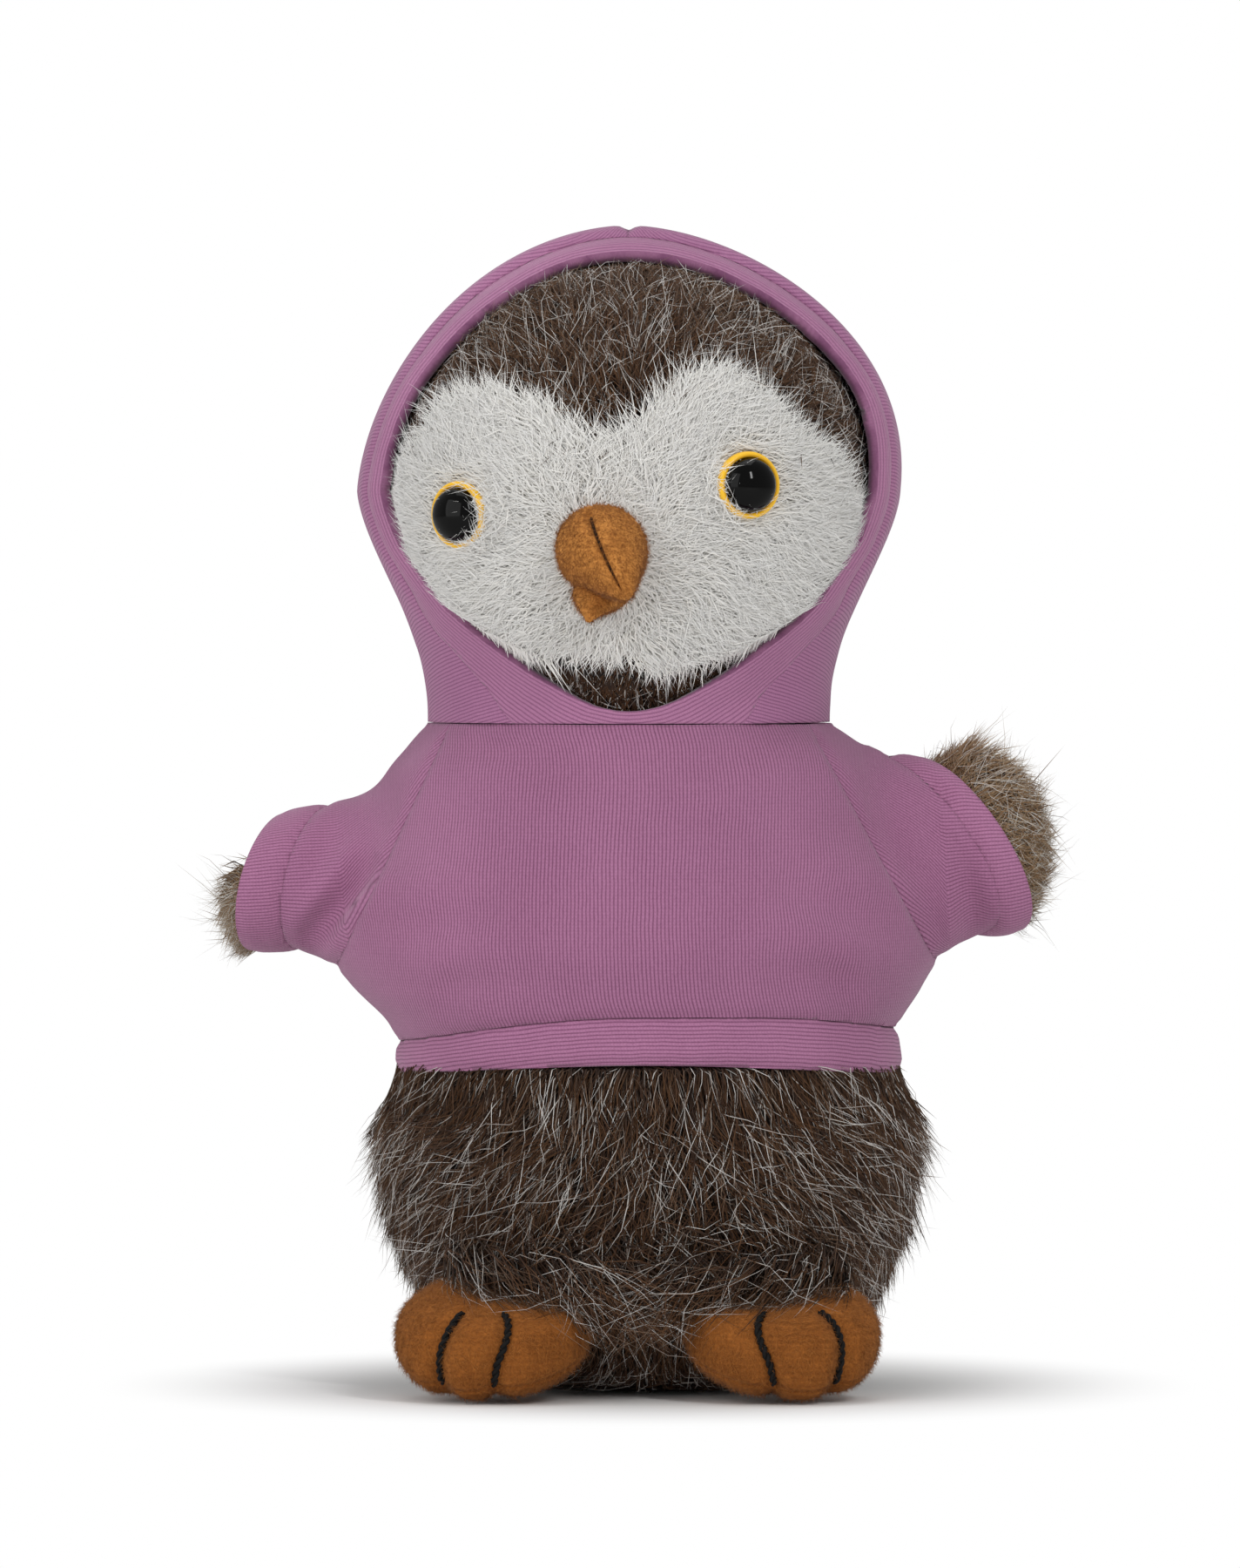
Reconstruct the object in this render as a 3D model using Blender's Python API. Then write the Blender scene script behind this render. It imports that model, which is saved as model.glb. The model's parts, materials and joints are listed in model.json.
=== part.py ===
"""Plush owl in a hooded sweatshirt, standing on its feet and its flat base.

Frame: metres, +Z up, the face looks along -Y, +X is to the right seen from the front.
The origin is the centre of the flat face under the body.
Left and right are as seen from the front.
"""

import math
from dataclasses import dataclass

import bmesh
import bpy
from mathutils import Matrix, Vector

MM = 0.001

# Fits
CLEARANCE = 0.3 * MM
EYE_FIT = 0.1 * MM
OVERRUN = 20 * MM

# Body: a pear that narrows under the wings and ends at the neck seam
NECK_HEIGHT = 100 * MM
BODY_WIDTH = 77 * MM
BODY_DEPTH = 67 * MM
SKIN_THICKNESS = 3 * MM
POUCH_HEIGHT = 24 * MM

# Head: a round stuffed ball over the neck seam
HEAD_WIDTH = 71 * MM
HEAD_DEPTH = 68 * MM
HEAD_HEIGHT = 70 * MM
HEAD_SHIFT = -3 * MM
HEAD_YAW_DEG = 6.5
HEAD_ROLL_DEG = 6.4

# Face panel: its size is a share of the head's, and its middle stands above the neck seam
FACE_HEIGHT_SHARE = 0.7143
FACE_WIDTH_SHARE = 0.8732
FACE_RISE = 31 * MM
FACE_LOFT = 3.5 * MM
FACE_HEIGHT = HEAD_HEIGHT * FACE_HEIGHT_SHARE
FACE_WIDTH = HEAD_WIDTH * FACE_WIDTH_SHARE
FACE_CENTRE_HEIGHT = NECK_HEIGHT + FACE_RISE

# Eyes: a yellow disc on a shank, held by a washer, with a black dome
EYE_DIAMETER = 10 * MM
EYE_RIM_THICKNESS = 1.8 * MM
EYE_SEAT_DEPTH = 0.8 * MM
EYE_SHANK_DIAMETER = 3 * MM
EYE_SHANK_LENGTH = 10.5 * MM
PUPIL_DIAMETER = 8 * MM
PUPIL_RISE = 2.6 * MM
WASHER_DIAMETER = 10 * MM
WASHER_THICKNESS = 1.2 * MM
EYE_RISE = 2.2 * MM
EYE_SPREAD_SHARE = 0.6237
EYE_PROUD = 1.4 * MM
EYE_HEIGHT = FACE_CENTRE_HEIGHT + EYE_RISE
EYE_SPREAD_DEG = math.degrees(math.asin(EYE_SPREAD_SHARE * FACE_WIDTH / HEAD_WIDTH))

# Beak: a hooked upper cone and a short lower one
BEAK_BELOW_FACE_CENTRE = 5 * MM
BEAK_WIDTH = 14 * MM
BEAK_LENGTH = 11 * MM
BEAK_DEPTH = 14 * MM
BEAK_DROOP = 6.5 * MM
BEAK_TURN = 4.5 * MM
LOWER_BEAK_WIDTH = 9 * MM
LOWER_BEAK_LENGTH = 6 * MM
LOWER_BEAK_DEPTH = 6 * MM
LOWER_BEAK_DROOP = 2.8 * MM
LOWER_BEAK_TUCK = 3.5 * MM
BEAK_SINK = 4 * MM
BEAK_HEIGHT = FACE_CENTRE_HEIGHT - BEAK_BELOW_FACE_CENTRE

# Wings: short flat paddles turning about Y at the shoulders
WING_ROOT_RADIUS = 8 * MM
LEFT_WING_HEIGHT_SHARE = 0.77
LEFT_WING_LENGTH = 28 * MM
LEFT_WING_TIP_HEIGHT = 21 * MM
LEFT_WING_RISE_DEG = -5
RIGHT_WING_HEIGHT_SHARE = 0.805
RIGHT_WING_LENGTH = 24.5 * MM
RIGHT_WING_TIP_HEIGHT = 25 * MM
RIGHT_WING_RISE_DEG = 4
WING_THICKNESS = 19 * MM
LEFT_WING_HEIGHT = NECK_HEIGHT * LEFT_WING_HEIGHT_SHARE
RIGHT_WING_HEIGHT = NECK_HEIGHT * RIGHT_WING_HEIGHT_SHARE

# Feet: pitched pads with three toes, two stitched lines each
FOOT_WIDTH = 29 * MM
FOOT_LENGTH = 30 * MM
FOOT_THICKNESS = 14 * MM
FOOT_PITCH_DEG = 22
FOOT_SPREAD_DEG = 16
LEFT_FOOT_X = -23 * MM
RIGHT_FOOT_X = 20.5 * MM
FOOT_REACH = 31 * MM
STAND_DEPTH = 0.5 * MM
TOE_GROOVE_DEPTH = 1.6 * MM
STITCH_RADIUS = 0.45 * MM

# Sweatshirt: knitted cloth, eased over the body and the wings
CLOTH_THICKNESS = 1.2 * MM
SHIRT_EASE_SIDE = 13.5 * MM
SHIRT_EASE_FRONT = 4 * MM
SHIRT_SHIFT = -2.3 * MM
SHIRT_FOLD_DEPTH = 1.3 * MM
WAIST_HEIGHT_SHARE = 0.48
WAIST_HEIGHT = NECK_HEIGHT * WAIST_HEIGHT_SHARE
WAIST_RISE = 2 * MM
WAISTBAND_WIDTH = 6.5 * MM
SLEEVE_EASE = 0.8 * MM
CUFF_WIDTH = 6.2 * MM
LEFT_CUFF_ALONG = 19.3 * MM
RIGHT_CUFF_ALONG = 12.2 * MM
ARMPIT_DROP = 0.6 * MM

# Hood: two panels and a hem round the face
HOOD_EASE_SIDE = 3.2 * MM
HOOD_EASE_TOP = 2.6 * MM
HOOD_EASE_BACK = 3 * MM
HEM_WIDTH = 6.5 * MM
HEM_THICKNESS = 2 * MM
HOOD_OPENING_FRONT = 30 * MM

# How finely the round forms are cut
BODY_SIDES = 28
HEAD_SIDES = 28
SHIRT_SIDES = 32
LIMB_SIDES = 16
SMALL_SIDES = 12
EYE_SIDES = 20
STITCH_SIDES = 6

# Height, half width and half depth along the body, as shares of its height, width and depth
BODY_SECTION_SHARES = (
    (0.00, 0.50, 0.50),
    (0.02, 0.64, 0.65),
    (0.06, 0.76, 0.77),
    (0.12, 0.85, 0.86),
    (0.20, 0.92, 0.94),
    (0.30, 0.98, 0.99),
    (0.40, 1.00, 1.00),
    (0.50, 0.94, 0.97),
    (0.58, 0.94, 0.96),
    (0.65, 0.89, 0.95),
    (0.72, 0.81, 0.93),
    (0.80, 0.72, 0.89),
    (0.90, 0.68, 0.82),
    (1.00, 0.66, 0.76),
)

# Height share, then the shares of the side ease, the front ease and the sideways shift
SHIRT_EASE_SHARES = (
    (0.45, 0.04, 0.12, 0.0),
    (0.50, 0.04, 0.15, 0.0),
    (0.55, 0.08, 0.22, 0.3),
    (0.60, 0.42, 0.55, 0.8),
    (0.66, 0.78, 0.90, 1.0),
    (0.76, 1.00, 1.00, 1.0),
    (0.84, 0.88, 0.95, 0.9),
    (0.92, 0.52, 0.80, 0.8),
    (1.00, 0.22, 0.50, 0.8),
    (1.10, 0.20, 0.50, 0.8),
)

# The hood's front edge from the crown to the throat: forward and height shares
HOOD_EDGE_SHARES = (
    (0.20, 1.30),
    (0.36, 0.98),
    (0.47, 0.80),
    (0.50, 0.53),
    (0.50, 0.38),
    (0.62, 0.25),
    (0.79, 0.16),
    (0.91, 0.08),
    (1.00, 0.00),
    (1.06, -0.20),
)

# The face panel seen from the front: two lobes, a brown dip between them and a round chin
FACE_OUTLINE_SHARES = (
    (0.00, 0.26),
    (0.14, 0.36),
    (0.28, 0.46),
    (0.40, 0.42),
    (0.48, 0.24),
    (0.50, 0.02),
    (0.46, -0.20),
    (0.34, -0.38),
    (0.16, -0.48),
    (-0.04, -0.50),
    (-0.24, -0.46),
    (-0.39, -0.33),
    (-0.48, -0.14),
    (-0.50, 0.08),
    (-0.46, 0.28),
    (-0.34, 0.42),
    (-0.18, 0.40),
    (-0.07, 0.32),
)

FACE_WRAP_SHARE = 0.46
NECK_SHARE = 0.74
HEAD_CENTRE_SHARE = 0.50
HOOD_CURVE = 1.25
CONE_BLUNT_SHARE = 0.62
RAGLAN_NECK_SHARE = 0.88
SLEEVE_FLARE_SHARE = 0.06
TOE_LINES = (math.radians(-22), math.radians(24))

LEFT_CUFF_NORMAL = Vector((-1.0, 0.36, 0.19)).normalized()
RIGHT_CUFF_NORMAL = Vector((1.0, 0.28, 0.62)).normalized()
SHIRT_WIDE = BODY_WIDTH + OVERRUN

# The exact solver loses slanted cuts through the sweatshirt's thin cloth
CLOTH_SOLVER = "MANIFOLD"


@dataclass(frozen=True)
class Section:
    """One level cut through a form: where its centre lies and its half sizes."""

    height: float
    centre_x: float
    half_width: float
    half_depth: float


def blend_rows(rows, share):
    """Read a table of shares at one height share, smoothly between its rows."""
    if share <= rows[0][0]:
        return rows[0][1:]
    if share >= rows[-1][0]:
        return rows[-1][1:]
    index = max(i for i, row in enumerate(rows) if row[0] <= share)
    low, high = rows[index], rows[index + 1]
    before = rows[max(index - 1, 0)]
    after = rows[min(index + 2, len(rows) - 1)]
    step = (share - low[0]) / (high[0] - low[0])
    values = []
    for column in range(1, len(low)):
        slope_low = (high[column] - before[column]) / (high[0] - before[0])
        slope_high = (after[column] - low[column]) / (after[0] - low[0])
        span = high[0] - low[0]
        near = (2 * step**3 - 3 * step**2 + 1) * low[column]
        far = (3 * step**2 - 2 * step**3) * high[column]
        pull_low = (step**3 - 2 * step**2 + step) * slope_low * span
        pull_high = (step**3 - step**2) * slope_high * span
        values.append(near + far + pull_low + pull_high)
    return tuple(values)


def body_section(height, grow=0.0):
    """The body's outer section at a height, widened by grow all round."""
    width_share, depth_share = blend_rows(BODY_SECTION_SHARES, height / NECK_HEIGHT)
    half_width = width_share * BODY_WIDTH / 2 + grow
    half_depth = depth_share * BODY_DEPTH / 2 + grow
    return Section(height, 0.0, half_width, half_depth)


def shirt_section(height, inset=0.0):
    """The sweatshirt's outer section at a height, drawn in by inset."""
    side, front, shift = blend_rows(SHIRT_EASE_SHARES, height / NECK_HEIGHT)
    body = body_section(min(height, NECK_HEIGHT), CLEARANCE + CLOTH_THICKNESS - inset)
    return Section(
        height,
        shift * SHIRT_SHIFT,
        body.half_width + side * SHIRT_EASE_SIDE,
        body.half_depth + front * SHIRT_EASE_FRONT,
    )


HEAD_TOP = NECK_HEIGHT + HEAD_HEIGHT
HEAD_CENTRE_HEIGHT = NECK_HEIGHT + HEAD_HEIGHT * HEAD_CENTRE_SHARE


def ball_profile(drop):
    """The head's width share below its middle: a ball cut off at the neck."""
    return math.sqrt(1 - (1 - NECK_SHARE**2) * drop**2)


def hood_profile(drop):
    """The hood's width share below its middle: it runs straighter into the neck seam."""
    return NECK_SHARE + (1 - NECK_SHARE) * (1 - drop**HOOD_CURVE)


def dome_section(height, width, depth, top, profile):
    """One section of a dome over the neck seam."""
    if height < HEAD_CENTRE_HEIGHT:
        size = profile((HEAD_CENTRE_HEIGHT - height) / (HEAD_CENTRE_HEIGHT - NECK_HEIGHT))
    else:
        rise = (height - HEAD_CENTRE_HEIGHT) / (top - HEAD_CENTRE_HEIGHT)
        size = math.sqrt(max(1 - rise**2, 0.0))
    return Section(height, HEAD_SHIFT, size * width / 2, size * depth / 2)


def dome_sections(width, depth, top, profile, levels=7):
    """Sections of a dome from the neck seam to the crown."""
    lower = HEAD_CENTRE_HEIGHT - NECK_HEIGHT - CLEARANCE / 2
    heights = [HEAD_CENTRE_HEIGHT - lower * (1 - level / levels) for level in range(levels)]
    for level in range(levels):
        angle = math.radians(84) * level / (levels - 1)
        heights.append(HEAD_CENTRE_HEIGHT + (top - HEAD_CENTRE_HEIGHT) * math.sin(angle))
    return [dome_section(height, width, depth, top, profile) for height in heights]


def head_size(grow):
    """The head's width, depth and crown height, grown all round."""
    return HEAD_WIDTH + 2 * grow, HEAD_DEPTH + 2 * grow, HEAD_TOP + grow


def head_sections(grow=0.0):
    """The head's outer sections, widened by grow."""
    return dome_sections(*head_size(grow), ball_profile)


def hood_sections(inset=0.0):
    """The hood's outer sections, drawn in by inset."""
    spare = CLEARANCE + HEM_THICKNESS - inset
    width = HEAD_WIDTH + 2 * (spare + HOOD_EASE_SIDE)
    depth = HEAD_DEPTH + 2 * (spare + HOOD_EASE_BACK)
    top = HEAD_TOP + spare + HOOD_EASE_TOP
    return dome_sections(width, depth, top, hood_profile)


def ring_of(section, sides, ripple=None):
    """Points round a section, starting at +X; ripple pushes them out by a length."""
    points = []
    for side in range(sides):
        angle = 2 * math.pi * side / sides
        push = ripple(angle, section.height) if ripple else 0.0
        points.append(Vector((
            section.centre_x + (section.half_width + push) * math.cos(angle),
            (section.half_depth + push) * math.sin(angle),
            section.height,
        )))
    return points


def loft(name, rings, closed_on_itself=False):
    """Skin a row of rings, each with as many points, into one closed mesh object."""
    mesh = bmesh.new()
    loops = [[mesh.verts.new(point) for point in ring] for ring in rings]
    pairs = list(zip(loops, loops[1:]))
    if closed_on_itself:
        pairs.append((loops[-1], loops[0]))
    for low, high in pairs:
        for i in range(len(low)):
            mesh.faces.new((low[i - 1], low[i], high[i], high[i - 1]))
    if not closed_on_itself:
        mesh.faces.new(loops[0])
        mesh.faces.new(loops[-1])
    bmesh.ops.recalc_face_normals(mesh, faces=mesh.faces)
    return object_from(name, mesh)


def object_from(name, mesh):
    """Put a bmesh into a new object of the scene."""
    data = bpy.data.meshes.new(name)
    mesh.to_mesh(data)
    mesh.free()
    made = bpy.data.objects.new(name, data)
    bpy.context.scene.collection.objects.link(made)
    return made


def copy_of(source, name):
    """A copy of an object with its own mesh."""
    made = bpy.data.objects.new(name, source.data.copy())
    bpy.context.scene.collection.objects.link(made)
    return made


def discard(*things):
    """Remove construction objects."""
    for thing in things:
        bpy.data.objects.remove(thing)


def carve(target, tool, operation, solver="EXACT"):
    """Apply one Boolean of a tool to a target and keep the result as its mesh."""
    cut = target.modifiers.new(operation.lower(), "BOOLEAN")
    cut.operation = operation
    cut.object = tool
    cut.solver = solver
    view = bpy.context.evaluated_depsgraph_get()
    result = bpy.data.meshes.new_from_object(target.evaluated_get(view))
    target.modifiers.clear()
    target.data = result
    return target


def cut_away(target, tool, solver="EXACT"):
    """Subtract a tool and discard it."""
    carve(target, tool, "DIFFERENCE", solver)
    discard(tool)
    return target


def keep_inside(target, tool, solver="EXACT"):
    """Keep only what lies inside a tool and discard it."""
    carve(target, tool, "INTERSECT", solver)
    discard(tool)
    return target


def prism(name, outline, axis, low, high):
    """Extrude a flat outline along X or Y between two positions."""
    mesh = bmesh.new()
    if axis == "Y":
        corners = [Vector((across, low, up)) for across, up in outline]
        travel = Vector((0, high - low, 0))
    else:
        corners = [Vector((low, across, up)) for across, up in outline]
        travel = Vector((high - low, 0, 0))
    face = mesh.faces.new([mesh.verts.new(corner) for corner in corners])
    grown = bmesh.ops.extrude_face_region(mesh, geom=[face])
    moved = [item for item in grown["geom"] if isinstance(item, bmesh.types.BMVert)]
    bmesh.ops.translate(mesh, verts=moved, vec=travel)
    bmesh.ops.recalc_face_normals(mesh, faces=mesh.faces)
    return object_from(name, mesh)


def slab(name, point, normal, low, high, reach):
    """A wide block square to a normal, between two distances from a point along it."""
    mesh = bmesh.new()
    bmesh.ops.create_cube(mesh, size=1)
    bmesh.ops.scale(mesh, vec=(2 * reach, 2 * reach, high - low), verts=mesh.verts)
    turn = Vector((0, 0, 1)).rotation_difference(normal).to_matrix().to_4x4()
    place = Matrix.Translation(point + normal * (low + high) / 2) @ turn
    bmesh.ops.transform(mesh, matrix=place, verts=mesh.verts)
    return object_from(name, mesh)


def turned(name, profile, place, sides):
    """Spin a profile of (radius, height) points about Z and place the solid."""
    rings = []
    for radius, height in profile:
        ring = []
        for side in range(sides):
            angle = 2 * math.pi * side / sides
            spot = Vector((radius * math.cos(angle), radius * math.sin(angle), height))
            ring.append(place @ spot)
        rings.append(ring)
    return loft(name, rings)


def dress(piece, colour, roughness, smooth_deg=40):
    """Give a piece its material and its shading."""
    finish = bpy.data.materials.new(piece.name)
    finish.use_nodes = True
    shader = finish.node_tree.nodes["Principled BSDF"]
    shader.inputs["Base Color"].default_value = (*colour, 1)
    shader.inputs["Roughness"].default_value = roughness
    shader.inputs["Metallic"].default_value = 0
    finish.diffuse_color = (*colour, 1)
    piece.data.materials.clear()
    piece.data.materials.append(finish)
    piece.data.shade_smooth()
    piece.data.set_sharp_from_angle(angle=math.radians(smooth_deg))
    return piece


BROWN_FUR = (0.050, 0.030, 0.022)
WHITE_FUR = (0.72, 0.70, 0.65)
FILLING = (0.80, 0.80, 0.78)
POUCH = (0.55, 0.55, 0.52)
VELOUR = (0.30, 0.10, 0.025)
THREAD = (0.006, 0.005, 0.005)
EYE_YELLOW = (0.80, 0.42, 0.03)
EYE_BLACK = (0.004, 0.004, 0.004)
WASHER_WHITE = (0.75, 0.75, 0.74)
KNIT = (0.33, 0.13, 0.26)
KNIT_BAND = (0.36, 0.14, 0.28)


def body_heights(low, high):
    """The heights of the body's table rows that lie between two limits, and the limits."""
    inner = [row[0] * NECK_HEIGHT for row in BODY_SECTION_SHARES]
    kept = [height for height in inner if low + CLEARANCE < height < high - CLEARANCE]
    return [low] + kept + [high]


def build_body():
    """The furry skin, open at the neck, with its filling and the weighted pouch inside."""
    top = NECK_HEIGHT - CLEARANCE / 2
    outer = [ring_of(body_section(height), BODY_SIDES) for height in body_heights(0.0, top)]
    inner_heights = body_heights(SKIN_THICKNESS, top)
    lining = [ring_of(body_section(height, -SKIN_THICKNESS), BODY_SIDES) for height in inner_heights]
    skin = loft("body_skin", outer + lining[::-1])

    inset = -(SKIN_THICKNESS + CLEARANCE)
    pouch_low = SKIN_THICKNESS + CLEARANCE
    pouch_rings = [
        ring_of(body_section(height, inset), BODY_SIDES)
        for height in body_heights(pouch_low, POUCH_HEIGHT)
    ]
    pouch = loft("pellet_pouch", pouch_rings)
    filling_rings = [
        ring_of(body_section(height, inset), BODY_SIDES)
        for height in body_heights(POUCH_HEIGHT + CLEARANCE, top)
    ]
    filling = loft("body_filling", filling_rings)
    dress(skin, BROWN_FUR, 0.9)
    dress(pouch, POUCH, 0.8)
    dress(filling, FILLING, 1.0)
    return [skin, pouch, filling]


def head_point(azimuth_deg, height, grow=0.0):
    """A point on the head's surface and its outward direction; azimuth 0 is the face."""
    here = dome_section(height, *head_size(grow), ball_profile)
    above = dome_section(height + CLEARANCE, *head_size(grow), ball_profile)
    angle = math.radians(azimuth_deg)
    x = HEAD_SHIFT + here.half_width * math.sin(angle)
    point = Vector((x, -here.half_depth * math.cos(angle), height))
    lean = (here.half_width - above.half_width) / CLEARANCE
    level = Vector((math.sin(angle) / here.half_width, -math.cos(angle) / here.half_depth, 0))
    return point, (level.normalized() + Vector((0, 0, lean))).normalized()


def face_outline(grow):
    """The face panel's outline in X and Z, rolled and shifted with the head's turn."""
    roll = math.radians(HEAD_ROLL_DEG)
    shift = HEAD_SHIFT - HEAD_WIDTH / 2 * math.sin(math.radians(HEAD_YAW_DEG)) / 2
    points = []
    for across, up in FACE_OUTLINE_SHARES:
        x = across * (FACE_WIDTH + 2 * grow)
        z = up * (FACE_HEIGHT + 2 * grow)
        turned_x = x * math.cos(roll) - z * math.sin(roll)
        turned_z = x * math.sin(roll) + z * math.cos(roll)
        points.append((shift + turned_x, FACE_CENTRE_HEIGHT + turned_z))
    return points


def build_head():
    """The brown head skin, the white face panel set into it and the filling."""
    outer = [ring_of(section, HEAD_SIDES) for section in head_sections()]
    lining = [ring_of(section, HEAD_SIDES) for section in head_sections(-SKIN_THICKNESS)]
    skin = loft("head_skin", outer[::-1] + lining)
    front = -HEAD_DEPTH / 2 - OVERRUN
    rear = -HEAD_DEPTH / 2 * FACE_WRAP_SHARE
    hole = prism("face_hole", face_outline(CLEARANCE / 2), "Y", front, rear)
    cut_away(skin, hole)

    raised = [ring_of(section, HEAD_SIDES) for section in head_sections(FACE_LOFT)]
    panel = loft("face_panel", raised[::-1] + lining)
    plug = prism("face_plug", face_outline(-CLEARANCE / 2), "Y", front, rear - CLEARANCE)
    keep_inside(panel, plug)

    inset = -(SKIN_THICKNESS + CLEARANCE)
    filling = loft("head_filling", [ring_of(s, HEAD_SIDES) for s in head_sections(inset)])
    dress(skin, BROWN_FUR, 0.9)
    return skin, panel, filling


def facing(point, direction):
    """A placement whose local Z looks along a direction."""
    turn = Vector((0, 0, 1)).rotation_difference(direction).to_matrix().to_4x4()
    return Matrix.Translation(point) @ turn


def build_eye(side, sign, panel, filling):
    """One safety eye: disc and shank, pupil dome, and the washer behind the skin."""
    azimuth = sign * EYE_SPREAD_DEG - HEAD_YAW_DEG
    tilt = math.sin(math.radians(HEAD_ROLL_DEG)) * math.sin(math.radians(EYE_SPREAD_DEG))
    height = EYE_HEIGHT + sign * tilt * HEAD_WIDTH / 2
    point, outward = head_point(azimuth, height, FACE_LOFT)
    place = facing(point + outward * EYE_PROUD, outward)

    rim = EYE_DIAMETER / 2
    shank = EYE_SHANK_DIAMETER / 2
    back = -EYE_RIM_THICKNESS
    seat = PUPIL_DIAMETER / 2 + EYE_FIT
    round_off = EYE_RIM_THICKNESS / 4
    base = turned(side + "_eye_base", [
        (shank, back - EYE_SHANK_LENGTH),
        (shank, back),
        (rim - round_off, back),
        (rim, back + round_off),
        (rim, -round_off),
        (rim - round_off, 0.0),
        (seat, 0.0),
        (seat, -EYE_SEAT_DEPTH),
    ], place, EYE_SIDES)

    pupil_radius = PUPIL_DIAMETER / 2
    floor = EYE_FIT - EYE_SEAT_DEPTH
    rows = [(pupil_radius, floor), (pupil_radius, 0.0)]
    for step in range(1, 5):
        angle = math.radians(82) * step / 4
        rows.append((pupil_radius * math.cos(angle), PUPIL_RISE * math.sin(angle)))
    pupil = turned(side + "_eye_pupil", rows, place, EYE_SIDES)

    # The washer's edge sits against the inside of the curved face panel
    hollow = WASHER_DIAMETER**2 / (4 * HEAD_WIDTH)
    washer_at = -(EYE_PROUD + FACE_LOFT + SKIN_THICKNESS + 2 * CLEARANCE + hollow)
    bore = shank + EYE_FIT
    outer = WASHER_DIAMETER / 2
    rings = []
    low = washer_at - WASHER_THICKNESS
    for radius, level in ((bore, low), (outer, low), (outer, washer_at), (bore, washer_at)):
        ring = []
        for step in range(SMALL_SIDES):
            angle = 2 * math.pi * step / SMALL_SIDES
            spot = Vector((radius * math.cos(angle), radius * math.sin(angle), level))
            ring.append(place @ spot)
        rings.append(ring)
    washer = loft(side + "_eye_washer", rings, closed_on_itself=True)

    # Holes: a seat for the disc and a shank hole in the panel, a pocket in the filling
    disc_hole = turned("disc_hole", [
        (rim + CLEARANCE, back - CLEARANCE),
        (rim + CLEARANCE, OVERRUN),
    ], place, SMALL_SIDES)
    cut_away(panel, disc_hole)
    shank_hole = turned("shank_hole", [
        (shank + CLEARANCE, -2 * OVERRUN),
        (shank + CLEARANCE, OVERRUN),
    ], place, SMALL_SIDES)
    cut_away(panel, shank_hole)
    pocket = turned("washer_pocket", [
        (outer + CLEARANCE, back - EYE_SHANK_LENGTH - CLEARANCE),
        (outer + CLEARANCE, OVERRUN),
    ], place, SMALL_SIDES)
    cut_away(filling, pocket)

    dress(base, EYE_YELLOW, 0.35)
    dress(pupil, EYE_BLACK, 0.04)
    dress(washer, WASHER_WHITE, 0.5)
    return [base, pupil, washer]


@dataclass(frozen=True)
class Cone:
    """A blunt stuffed cone that bends down and to the right towards its tip."""

    start: Vector
    direction: Vector
    length: float
    width: float
    depth: float
    droop: float
    turn: float = 0.0

    def rings(self, grow=0.0):
        """Rings from the root to the tip, widened by grow."""
        across = self.direction.cross(Vector((0, 0, 1))).normalized()
        sides = SMALL_SIDES + 2
        levels = 7
        rings = []
        for level in range(levels):
            share = level / (levels - 1)
            size = math.cos(share * math.radians(80)) ** CONE_BLUNT_SHARE
            centre = self.start + self.direction * (share * (self.length + grow))
            centre = centre + Vector((self.turn * share**2, 0, -self.droop * share**2))
            bend = Vector((self.turn, 0, -self.droop)) * (2 * share)
            forward = self.direction * self.length + bend
            upward = across.cross(forward.normalized()).normalized()
            ring = []
            for side in range(sides):
                angle = 2 * math.pi * side / sides
                sideways = across * ((self.width / 2 * size + grow) * math.cos(angle))
                vertical = upward * ((self.depth / 2 * size + grow) * math.sin(angle))
                ring.append(centre + sideways + vertical)
            rings.append(ring)
        return rings

    def room(self, name):
        """The space to leave for the cone, run on behind its root."""
        rings = self.rings(CLEARANCE)
        back = self.direction * (BEAK_SINK + CLEARANCE)
        return loft(name, [[spot - back for spot in rings[0]]] + rings)


def build_beak(panel):
    """The two beak cones, each sewn through a hole of its own shape in the face panel."""
    point, outward = head_point(-HEAD_YAW_DEG, BEAK_HEIGHT, FACE_LOFT)
    level = Vector((outward.x, outward.y, 0)).normalized()
    start = point - level * BEAK_SINK
    length = BEAK_LENGTH + BEAK_SINK
    upper_cone = Cone(start, level, length, BEAK_WIDTH, BEAK_DEPTH, BEAK_DROOP, BEAK_TURN)
    below = start - Vector((0, 0, (BEAK_DEPTH + LOWER_BEAK_DEPTH) / 2 - LOWER_BEAK_TUCK))
    length = LOWER_BEAK_LENGTH + BEAK_SINK
    lower_cone = Cone(below, level, length, LOWER_BEAK_WIDTH, LOWER_BEAK_DEPTH, LOWER_BEAK_DROOP)
    upper = loft("upper_beak", upper_cone.rings())
    lower = loft("lower_beak", lower_cone.rings())
    cut_away(lower, upper_cone.room("upper_room"))
    cut_away(panel, upper_cone.room("upper_room"))
    cut_away(panel, lower_cone.room("lower_room"))
    return [dress(upper, VELOUR, 0.9), dress(lower, VELOUR, 0.9)]


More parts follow.
